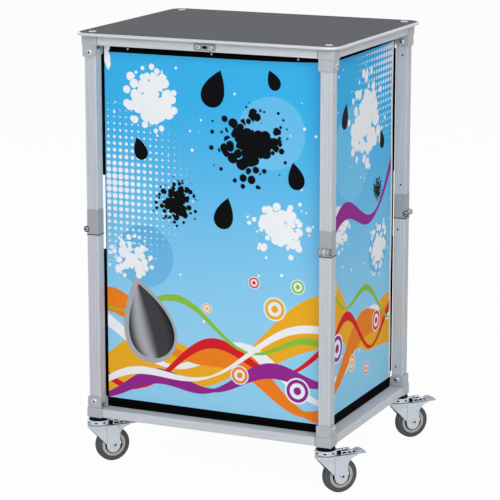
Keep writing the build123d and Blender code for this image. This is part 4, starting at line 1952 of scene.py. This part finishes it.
    def flap(self) -> bpy.types.Object:
        """Build the front sheet's upper left corner, which has come loose and curls out.

        Returns:
            The corner flap.
        """
        shell = Shell("front_corner_flap")
        notch, middle, reach = self.flap_notch
        rings = []
        for step in range(self.flap_steps + 1):
            v = step / self.flap_steps
            level = self.flap_low + (self.flap_high - self.flap_low) * v
            flare = math.sin(math.pi * min(1.5 * v, 0.5))
            wide = self.flap_width[0] + self.flap_width[1] * flare - notch * bell(v, middle, reach)
            curl = 0.3 + 0.7 * v * v
            left = self.flap_left + self.flap_slant * max(0.0, 1.0 - 3.0 * v)
            ring = []
            for near, way in ((0.0, 1), (self.thickness * 0.5, -1)):
                for share in self.flap_stations[::way]:
                    lift = curl * (0.5 + 0.5 * share * (1 - 0.4 * share))
                    depth = self.face - lift - self.thickness * 0.5 + near
                    ring.append(Side.FRONT.place @ Vector((left + wide * share, depth, level)))
            rings.append(ring)
        shell.loft(rings, [0] * len(rings))
        piece = shell.finish((self.palette.film,), "base")
        self.settle(piece)
        return piece

    def strip_screws(self, row: str, seat: Matrix, body: str) -> None:
        """Build the small bright screws that hold a row of hook strips.

        Args:
            row: The row's name.
            seat: A screw's frame in its side's frame, before it is moved along the side.
            body: The CAD body that they ride on.
        """
        shell = Shell(f"{row}_strip_screws")
        for side in (Side.FRONT, Side.RIGHT, Side.LEFT):
            reach = side.span / 2 - self.screw_margin
            for x in (-reach, 0.0, reach):
                place = side.place @ Matrix.Translation((x, 0, 0)) @ seat
                shell.turned(self.strip_screw.levels(), place, count=32)
        shell.finish((self.palette.bolt, self.palette.recess), body)


@dataclass
class Studio:
    """A pale floor, soft studio light and the photograph's camera."""

    azimuth: float = 24.245
    elevation: float = 12.558
    distance: float = 5.3242
    lens: float = 166.464
    sensor: float = 36.0
    clip: float = 100.0
    aim: Triple = (-0.0027, 0.0, 0.4795)
    lamps: tuple[tuple[str, Triple, float], ...] = (
        ("key", (0.9, -3.7, 2.2), 54.0),
        ("fill", (2.8, -2.6, 2.7), 58.0),
        ("back", (2.0, 3.4, 2.8), 24.0),
        ("left", (-3.2, 0.6, 2.2), 40.0),
    )
    lamp_size: float = 2.4
    lamp_aim: Triple = (0, 0, 0.5)
    world_light: float = 0.34
    world_colour: Colour = (0.98, 0.99, 1.0, 1.0)
    floor_reach: float = 30.0
    floor_glow: float = 0.96
    floor_colour: Colour = (0.9, 0.9, 0.9, 1.0)

    def build(self) -> None:
        """Set up the world, floor, lamps and camera."""
        scene = bpy.context.scene
        scene.view_settings.view_transform = "Standard"
        self.world(scene)
        self.floor()
        for name, place, power in self.lamps:
            self.lamp(name, place, power)
        self.camera(scene)

    def seen(self, tree: bpy.types.NodeTree) -> Socket:
        """Tell rays that show the background from rays that light the object.

        Args:
            tree: The nodes that are to know.

        Returns:
            A number that is 1 for the first kind of ray and 0 for the second.
        """
        path = tree.nodes.new("ShaderNodeLightPath")
        total = path.outputs["Is Camera Ray"]
        for name in ("Is Glossy Ray", "Is Transmission Ray"):
            larger = tree.nodes.new("ShaderNodeMath")
            larger.operation = "MAXIMUM"
            tree.links.new(total, larger.inputs[0])
            tree.links.new(path.outputs[name], larger.inputs[1])
            total = larger.outputs[0]
        return total

    def world(self, scene: bpy.types.Scene) -> None:
        """Make a soft pale world that is seen as white.

        Args:
            scene: The scene that gets it.
        """
        world = bpy.data.worlds.new("studio")
        scene.world = world
        world.use_nodes = True
        tree = world.node_tree
        tree.nodes.clear()
        light = tree.nodes.new("ShaderNodeBackground")
        light.inputs[0].default_value = self.world_colour
        light.inputs[1].default_value = self.world_light
        white = tree.nodes.new("ShaderNodeBackground")
        white.inputs[0].default_value = FULL_WHITE
        white.inputs[1].default_value = 1.0
        self.blend(tree, self.seen(tree), light, white, "ShaderNodeOutputWorld")

    def blend(
        self, tree: bpy.types.NodeTree, share: Socket, lit: bpy.types.Node, shown: bpy.types.Node,
        output: str,
    ) -> None:
        """End a tree with two shaders that are mixed by a share.

        Args:
            tree: The nodes.
            share: How much there is of the second shader.
            lit: The first shader, which lights the object.
            shown: The second shader, which is seen.
            output: The output node's kind.
        """
        mix = tree.nodes.new("ShaderNodeMixShader")
        for source, socket in zip((share, lit.outputs[0], shown.outputs[0]), mix.inputs):
            tree.links.new(source, socket)
        tree.links.new(mix.outputs[0], tree.nodes.new(output).inputs["Surface"])

    def floor(self) -> None:
        """Make a wide pale floor that is nearly white and keeps a soft shadow."""
        mesh = bpy.data.meshes.new("studio_floor")
        reach = self.floor_reach
        corners = [(-reach, -reach, 0), (reach, -reach, 0), (reach, reach, 0), (-reach, reach, 0)]
        mesh.from_pydata(corners, [], [(0, 1, 2, 3)])
        material = bpy.data.materials.new("studio_floor")
        material.use_nodes = True
        tree = material.node_tree
        tree.nodes.clear()
        paint = tree.nodes.new("ShaderNodeBsdfDiffuse")
        paint.inputs[0].default_value = self.floor_colour
        glow = tree.nodes.new("ShaderNodeEmission")
        glow.inputs[0].default_value = FULL_WHITE
        share = tree.nodes.new("ShaderNodeMath")
        share.operation = "MULTIPLY"
        share.inputs[1].default_value = self.floor_glow
        tree.links.new(self.seen(tree), share.inputs[0])
        self.blend(tree, share.outputs[0], paint, glow, "ShaderNodeOutputMaterial")
        mesh.materials.append(material)
        floor = bpy.data.objects.new("studio_floor", mesh)
        bpy.context.collection.objects.link(floor)

    def lamp(self, name: str, place: Triple, power: float) -> None:
        """Add a square soft lamp that faces the object.

        Args:
            name: The lamp's name.
            place: Where it stands.
            power: Its power in watts.
        """
        light = bpy.data.lights.new(name, "AREA")
        light.size = self.lamp_size
        light.energy = power
        lamp = bpy.data.objects.new(name, light)
        bpy.context.collection.objects.link(lamp)
        lamp.location = place
        lamp.rotation_euler = (Vector(self.lamp_aim) - Vector(place)).to_track_quat("-Z", "Y").to_euler()

    def camera(self, scene: bpy.types.Scene) -> None:
        """Add the photograph's camera.

        Args:
            scene: The scene that gets it.
        """
        lens = bpy.data.cameras.new("photo_camera")
        lens.lens = self.lens
        lens.sensor_width = self.sensor
        lens.clip_end = self.clip
        camera = bpy.data.objects.new("photo_camera", lens)
        bpy.context.collection.objects.link(camera)
        turn, tilt = math.radians(self.azimuth), math.radians(self.elevation)
        away = Vector((math.sin(turn) * math.cos(tilt), -math.cos(turn) * math.cos(tilt), math.sin(tilt)))
        camera.location = Vector(self.aim) + self.distance * away
        camera.rotation_euler = (-away).to_track_quat("-Z", "Y").to_euler()
        scene.camera = camera


def main() -> None:
    """Build and dress the station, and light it."""
    logging.basicConfig(level=logging.INFO, format="%(name)s: %(message)s")
    palette = Palette()
    for kind in (Tabletop, Frame, Knees, Casters, Sheets):
        assembly = kind(palette)
        assembly.build()
        LOG.info("%s built", kind.__name__)
    Studio().build()


if __name__ == "__main__":
    main()
